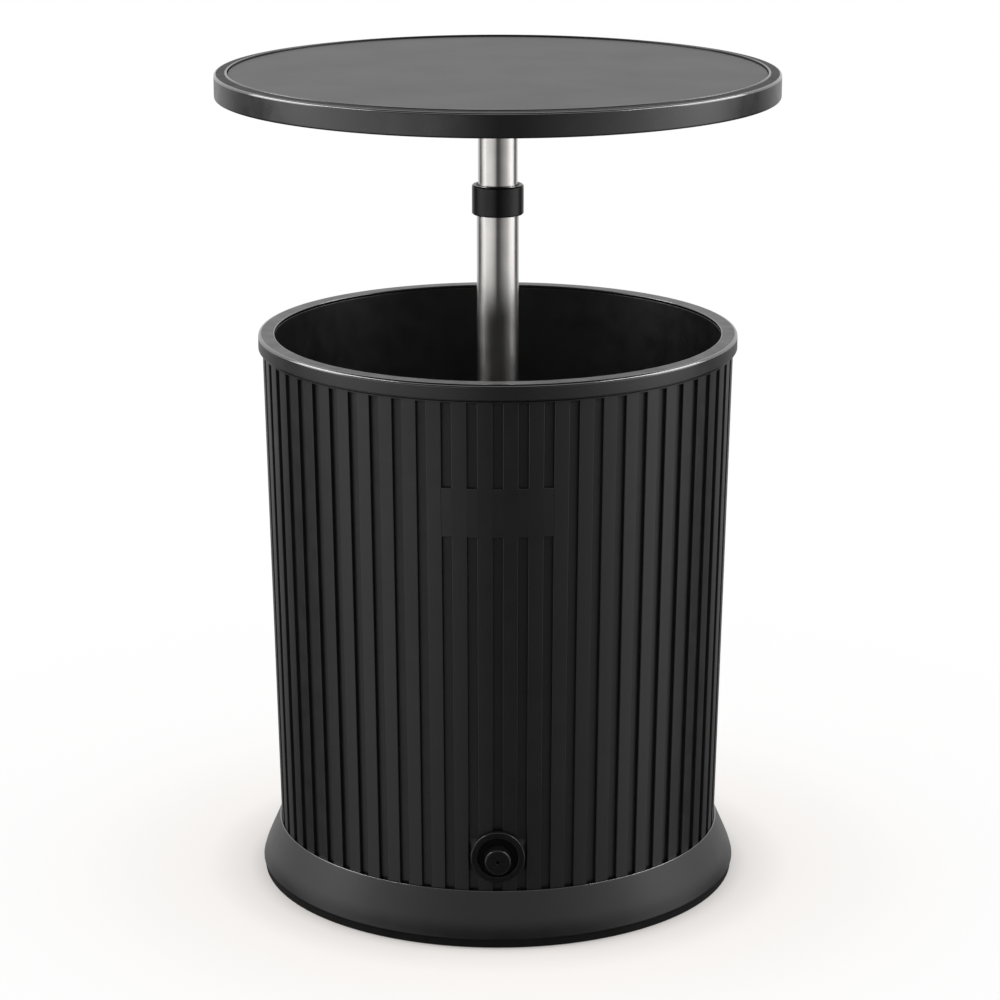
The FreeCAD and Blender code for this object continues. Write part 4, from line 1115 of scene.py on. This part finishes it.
lower_collar = ring_grid("twist_collar", rounded([
    (NECK_RADIUS + FIT, collar_low, 0.3 * MM),
    (COLLAR_RADIUS - COLLAR_CHAMFER, collar_low, 0.4 * MM),
    (COLLAR_RADIUS, collar_low + COLLAR_CHAMFER, 0.4 * MM),
    (COLLAR_RADIUS, collar_top - COLLAR_CHAMFER, 0.4 * MM),
    (COLLAR_RADIUS - COLLAR_CHAMFER, collar_top, 0.4 * MM),
    (lower_tube_radius + FIT, collar_top, 0.6 * MM),
    (lower_tube_radius + FIT, collar_top - COLLAR_CAP, 0.3 * MM),
    (NECK_RADIUS + FIT, collar_top - COLLAR_CAP, 0.3 * MM),
]), even_turns(SCALLOPS * POINTS_PER_SCALLOP), collar_point)
set_piece(lower_collar, "lower_collar", "column_plastic", column_plastic, "lower_collar")
print("twist collar has", SCALLOPS, "scallops")

# %% Upper collar
UPPER_COLLAR_WALL = 2.4 * MM
FUNNEL_WIDTH, FUNNEL_DEPTH = 2 * MM, 4 * MM
upper_collar_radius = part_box("upper_collar")[1].x
upper_collar_low, upper_collar_top = (corner.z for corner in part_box("upper_collar"))
upper_tube_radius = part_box("upper_tube")[1].x
collet_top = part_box("upper_collet")[1].z
cavity = upper_collar_radius - UPPER_COLLAR_WALL
bore = upper_tube_radius + FIT
upper_collar = lathe("plain_collar", [
    (cavity, upper_collar_low, 0.3 * MM),
    (upper_collar_radius - COLLAR_CHAMFER, upper_collar_low, 0.4 * MM),
    (upper_collar_radius, upper_collar_low + COLLAR_CHAMFER, 0.4 * MM),
    (upper_collar_radius, upper_collar_top - COLLAR_CHAMFER, 0.4 * MM),
    (upper_collar_radius - COLLAR_CHAMFER, upper_collar_top, 0.4 * MM),
    (bore + FUNNEL_WIDTH, upper_collar_top, 0.4 * MM),
    (bore, upper_collar_top - FUNNEL_DEPTH, 0.4 * MM),
    (bore, collet_top + FIT, 0.3 * MM),
    (cavity, collet_top + FIT, 0.3 * MM),
], around=128)
set_piece(upper_collar, "upper_collar", "column_plastic", column_plastic, "upper_collar")
dress_nodes(column_plastic, "upper_collet", "upper_sleeve", "lower_tube_glide", "upper_tube_glide")
print("plain collar is", round(upper_collar_radius * 2 / MM, 1), "mm across")

# %% [markdown]
# ## Column: the steel tubes
#
# Two thin-walled tubes slide one in the other. Blender's own cylinder is solid
# and sharp-edged, while these are hollow and their cut ends are deburred. So each
# is a small rectangle on the lathe, with its four corners rounded off.

# %% Steel tubes
LOWER_WALL, UPPER_WALL = 1.0 * MM, 1.2 * MM
DEBURR = 0.3 * MM


def steel_tube(name, node, wall, body):
    """A tube as wide and as long as its CAD node."""
    low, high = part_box(node)
    tube = lathe(name, [
        (high.x - wall, low.z, DEBURR),
        (high.x, low.z, DEBURR),
        (high.x, high.z, DEBURR),
        (high.x - wall, high.z, DEBURR),
    ], around=144)
    return set_piece(tube, body, "tube_steel", tube_steel, node)


steel_tube("lower_steel", "lower_tube", LOWER_WALL, "lower_column")
steel_tube("upper_steel", "upper_tube", UPPER_WALL, "table")
print("tubes are", [round(radius * 2 / MM, 1) for radius in (lower_tube_radius, upper_tube_radius)],
      "mm across")

# %% [markdown]
# ## Table
#
# The table is a shallow tray turned upside down: a deck with a hanging edge, and
# a raised lip. The lip falls slightly outwards from a small bead on its inner
# edge, and a thin grained plate lies inside it, so near that the gap reads as a
# dark line. A bevelled cylinder would pass from far off, but the thin bright
# lines of the photograph come from the bead and the eased shoulder, so the
# lathe's outline has both. Their finishes are a lighter grey than the deck, so
# part of each line is a painted highlight.

# %% Deck and inlay
LIP_WIDTH, LIP_HEIGHT = 13.3 * MM, 4 * MM
DECK_WALL, DECK_PLATE = 3 * MM, 3.5 * MM
LIP_FALL, TABLE_SHOULDER = 1.6 * MM, 2.4 * MM
BEAD, BEAD_CREST, BEAD_RISE = 2.2 * MM, 1.76 * MM, 0.7 * MM
LOWER_EDGE = 2.2 * MM
table_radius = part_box("table_body")[1].x
edge_low, table_top = (corner.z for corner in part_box("table_body"))
plate_top = table_top - LIP_HEIGHT
plate_low = plate_top - DECK_PLATE
table_lip = table_radius - LIP_WIDTH
deck = lathe("deck", [
    (0, plate_low, 0),
    (table_lip + DECK_WALL, plate_low, 1.0 * MM),
    (table_lip + DECK_WALL, table_top - DECK_WALL, 1.0 * MM),
    (table_radius - DECK_WALL, table_top - DECK_WALL, 1.0 * MM),
    (table_radius - DECK_WALL, edge_low, 0.6 * MM),
    (table_radius, edge_low, LOWER_EDGE),
    (table_radius, table_top - LIP_FALL, TABLE_SHOULDER),
    (table_lip + BEAD, table_top - BEAD_RISE, 0.4 * MM),
    (table_lip + BEAD_CREST, table_top, 0.6 * MM),
    (table_lip, table_top, 0.8 * MM),
    (table_lip, plate_top, 0.3 * MM),
    (0, plate_top, 0),
], around=288)
set_piece(deck, "table", "table_plastic", table_plastic, "table_body")
finish_near(deck, lip_plastic, [((table_lip + table_radius) / 2, table_top)], LIP_WIDTH / 4)
# The shoulder and the bead take the lighter edge plastics: painted highlight lines besides their real
# gloss.
finish_near(deck, edge_plastic, [(table_radius, table_top - LIP_FALL)], EDGE_REACH)
finish_near(deck, soft_edge_plastic, [(table_lip + BEAD / 2, table_top)], EDGE_REACH)
inlay_radius, _, inlay_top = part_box("table_inlay")[1]
inlay = lathe("inlay", [
    (0, plate_top, 0),
    (inlay_radius, plate_top, 0.3 * MM),
    (inlay_radius, inlay_top, 0.9 * MM),
    (0, inlay_top, 0),
], around=288)
set_piece(inlay, "table", "inlay_plastic", inlay_plastic, "table_inlay")
dress_nodes(table_plastic, "table_brace")
print("table is", round(table_radius * 2, 3), "m across and", round(table_top, 3), "m high")

# %% [markdown]
# Under the deck a ring closes the tub. Its inner wall finds the liner when the
# table comes down, and a soft seal in its channel lands on the rim.

# %% Lid ring and seal
RING_WALL = 2.5 * MM
LOCATING_PLAY = 3 * MM                 # how far the ring stays inside the rim
CHANNEL_WALL, CHANNEL_DEPTH = 2.5 * MM, 4 * MM
lid_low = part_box("lid_ring")[0].z
lid_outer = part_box("lid_ring")[1].x
locating_radius = rim_inner - LOCATING_PLAY
seal_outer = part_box("lid_seal")[1].x
seal_low, seal_top = (corner.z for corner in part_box("lid_seal"))
SEAL_WIDTH = 6 * MM
channel_outer = lid_outer - CHANNEL_WALL
channel_inner = 2 * seal_outer - SEAL_WIDTH - channel_outer
channel_low = seal_top - CHANNEL_DEPTH
lid_ring = lathe("closing_ring", [
    (locating_radius - RING_WALL, lid_low, 0.8 * MM),
    (locating_radius, lid_low, 0.8 * MM),
    (locating_radius, plate_low - DECK_WALL, 1.2 * MM),
    (channel_inner - CHANNEL_WALL, plate_low - DECK_WALL, 1.2 * MM),
    (channel_inner - CHANNEL_WALL, channel_low, 0.5 * MM),
    (channel_inner, channel_low, 0.5 * MM),
    (channel_inner, seal_top, 0.3 * MM),
    (channel_outer, seal_top, 0.3 * MM),
    (channel_outer, channel_low, 0.5 * MM),
    (lid_outer, channel_low, 0.5 * MM),
    (lid_outer, plate_low, 0.3 * MM),
    (locating_radius - RING_WALL, plate_low, 0.3 * MM),
], around=216)
set_piece(lid_ring, "table", "table_plastic", table_plastic, "lid_ring")
seal = lathe("soft_seal", [
    (seal_outer - SEAL_WIDTH, seal_low, 2.4 * MM),
    (seal_outer, seal_low, 2.4 * MM),
    (seal_outer, seal_top, 0.6 * MM),
    (seal_outer - SEAL_WIDTH, seal_top, 0.6 * MM),
], around=216)
set_piece(seal, "table", "seal_rubber", seal_rubber, "lid_seal")
print("seal is", round(seal_outer * 2 / MM, 1), "mm across")

# %% [markdown]
# The upper tube ends in a hub under the deck: a boss with a broad flange, which
# hangs from the deck as the socket stands on the floor. So the same two tools
# make it, with the gussets' side turned over. A cross bolt pins the tube.

# %% Hub
HUB_RADIUS = 27 * MM
HUB_FLANGE, HUB_RISE = 6 * MM, 18 * MM
HUB_SPARE = 0.1 * MM
hub_low, hub_top = (corner.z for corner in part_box("table_hub"))
hub_flange_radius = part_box("table_hub")[1].x
hub_flange_low = hub_top - HUB_FLANGE
upper_tube_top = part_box("upper_tube")[1].z
hub = lathe("hub", [
    (upper_tube_radius + HUB_SPARE, hub_low, 0.6 * MM),
    (HUB_RADIUS, hub_low, 1.0 * MM),
    (HUB_RADIUS, hub_flange_low, 2.5 * MM),
    (hub_flange_radius, hub_flange_low, 1.5 * MM),
    (hub_flange_radius, hub_top, 0.4 * MM),
    (0, hub_top, 0),
    (0, upper_tube_top, 0),
    (upper_tube_radius + HUB_SPARE, upper_tube_top, 0),
], around=120)
set_piece(hub, "table", "table_plastic", table_plastic, "table_hub")
hub_gussets = gussets("hub_gussets", HUB_RADIUS, hub_flange_low, HUB_RISE, -1)
set_piece(hub_gussets, "table", "table_plastic", table_plastic, "table_hub")
print("hub flange is", round(hub_flange_radius * 2 / MM), "mm across")

# %% [markdown]
# ## Fasteners
#
# A screw's drive is what makes it read as a screw. Each one is turned on the
# lathe, and a boolean then sinks the cross or the hexagon into its head. The
# cut is applied once and the mesh is copied to every place.

# %% Cutting a recess
def plain_prism(name, corners, low, high):
    """A straight cutter over an outline of (x, y) corners."""
    shape = bmesh.new()
    add_prism(shape, [(x, y, high) for x, y in corners], [(x, y, low) for x, y in corners])
    return smooth_piece(name, shape)


def sink(piece, cutter):
    """Cut a recess, apply it and throw the cutter away. Gives the finished mesh."""
    cut = piece.modifiers.new("recess", "BOOLEAN")
    cut.operation = "DIFFERENCE"
    cut.object = cutter
    bpy.context.view_layer.update()
    evaluated = piece.evaluated_get(bpy.context.evaluated_depsgraph_get())
    mesh = bpy.data.meshes.new_from_object(evaluated)
    for used in (piece, cutter):
        bpy.data.objects.remove(used)
    return mesh


print("cutting tools ready")

# %% Cross-head screws
SCREW_RADIUS = 2 * MM
HEAD_RADIUS, HEAD_HEIGHT = 4.2 * MM, 2.6 * MM
CROSS_REACH, CROSS_HALF, CROSS_DEPTH = 2.3 * MM, 0.45 * MM, 1.5 * MM
CUTTER_SPARE = 1 * MM                  # how far a cutter stands out of the head


def cross_outline(reach, half):
    """The (x, y) corners of a cross: one arm, turned by three more quarters."""
    arm, corners = [(reach, -half), (reach, half), (half, half)], []
    for _ in range(4):
        corners += arm
        arm = [(-y, x) for x, y in arm]
    return corners


def screw_mesh(length):
    """A pan-head screw that stands on z = 0, with its shank below."""
    screw = lathe("screw_blank", [
        (0, -length, 0),
        (SCREW_RADIUS, -length, 1.2 * MM),
        (SCREW_RADIUS, 0, 0.2 * MM),
        (HEAD_RADIUS, 0, 0.3 * MM),
        (HEAD_RADIUS, HEAD_HEIGHT, 1.6 * MM),
        (0, HEAD_HEIGHT, 0),
    ], around=40)
    corners = cross_outline(CROSS_REACH, CROSS_HALF)
    cross = plain_prism("cross", corners, HEAD_HEIGHT - CROSS_DEPTH, HEAD_HEIGHT + CUTTER_SPARE)
    return sink(screw, cross)


print("a cross has", len(cross_outline(CROSS_REACH, CROSS_HALF)), "corners")

# %% Rings of screws
PAN_PLATE = 3 * MM
PAN_SCREWS, PAN_CIRCLE, PAN_SHANK = 8, 212.5 * MM, 6.5 * MM
FLANGE_CIRCLE, SOCKET_SHANK, HUB_SHANK = 50 * MM, 18 * MM, 13 * MM
TURNED_ON = 3                          # times its place's angle, so that the crosses don't line up


def screws_round(name, node, length, circle, count, height, upward, body):
    """Copies of one screw round the axis; upward means that the shank points up."""
    mesh = screw_mesh(length)
    shape = bmesh.new()
    for step in range(count):
        turn = math.tau * (step + 0.5) / count
        place = Matrix.Translation((circle * math.cos(turn), circle * math.sin(turn), height))
        place @= Matrix.Rotation(turn * TURNED_ON, 4, "Z")
        if upward:
            place @= Matrix.Rotation(math.pi, 4, "X")
        copy = mesh.copy()
        copy.transform(place)
        shape.from_mesh(copy)
        bpy.data.meshes.remove(copy)
    piece = smooth_piece(name, shape)
    return set_piece(piece, body, "screw_steel", screw_steel, node)


pan_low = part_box("base_pan")[1].z - PAN_PLATE
screws_round("pan_screws", "base_screws", PAN_SHANK, PAN_CIRCLE, PAN_SCREWS, pan_low, True, "tub")
screws_round("flange_screws", "socket_screws", SOCKET_SHANK, FLANGE_CIRCLE, GUSSETS,
             flange_face, False, "tub")
screws_round("deck_screws", "hub_screws", HUB_SHANK, FLANGE_CIRCLE, GUSSETS,
             hub_flange_low, True, "table")
print(PAN_SCREWS + 2 * GUSSETS, "screws")

# %% Cross bolt
bolt_low, bolt_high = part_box("hub_bolt")
bolt_height = (bolt_low.z + bolt_high.z) / 2
bolt_axis = Matrix.Translation((0, 0, bolt_height)) @ Matrix.Rotation(math.pi / 2, 4, "X")
BOLT_RADIUS, BOLT_HEAD_RADIUS, BOLT_HEAD = 3 * MM, 5.5 * MM, 4 * MM
KEY_REACH, KEY_DEPTH = 2.3 * MM, 2.5 * MM
bolt_face = HUB_RADIUS + BOLT_HEAD
bolt_blank = lathe("bolt_blank", [
    (0, -bolt_high.y, 0),
    (BOLT_RADIUS, -bolt_high.y, 0.5 * MM),
    (BOLT_RADIUS, HUB_RADIUS, 0),
    (BOLT_HEAD_RADIUS, HUB_RADIUS, 0.3 * MM),
    (BOLT_HEAD_RADIUS, bolt_face, 2.4 * MM),
    (0, bolt_face, 0),
], around=48)
hexagon = [(KEY_REACH * math.cos(turn), KEY_REACH * math.sin(turn)) for turn in even_turns(6)]
key = plain_prism("key", hexagon, bolt_face - KEY_DEPTH, bolt_face + CUTTER_SPARE)
bolt_mesh = sink(bolt_blank, key)
bolt_mesh.transform(bolt_axis)
cross_bolt = bpy.data.objects.new("cross_bolt", bolt_mesh)
bpy.context.scene.collection.objects.link(cross_bolt)
set_piece(cross_bolt, "table", "screw_steel", screw_steel, "hub_bolt")
bolt_nut_low, bolt_nut_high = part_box("hub_nut")
bolt_nut = hexagon_nut("cross_bolt_nut", bolt_nut_high.x, BOLT_RADIUS + THREAD_SPARE,
                       -bolt_nut_high.y, -bolt_nut_low.y, bolt_axis)
set_piece(bolt_nut, "table", "screw_steel", screw_steel, "hub_nut")
print("bolt crosses the hub at", round(bolt_height / MM), "mm")
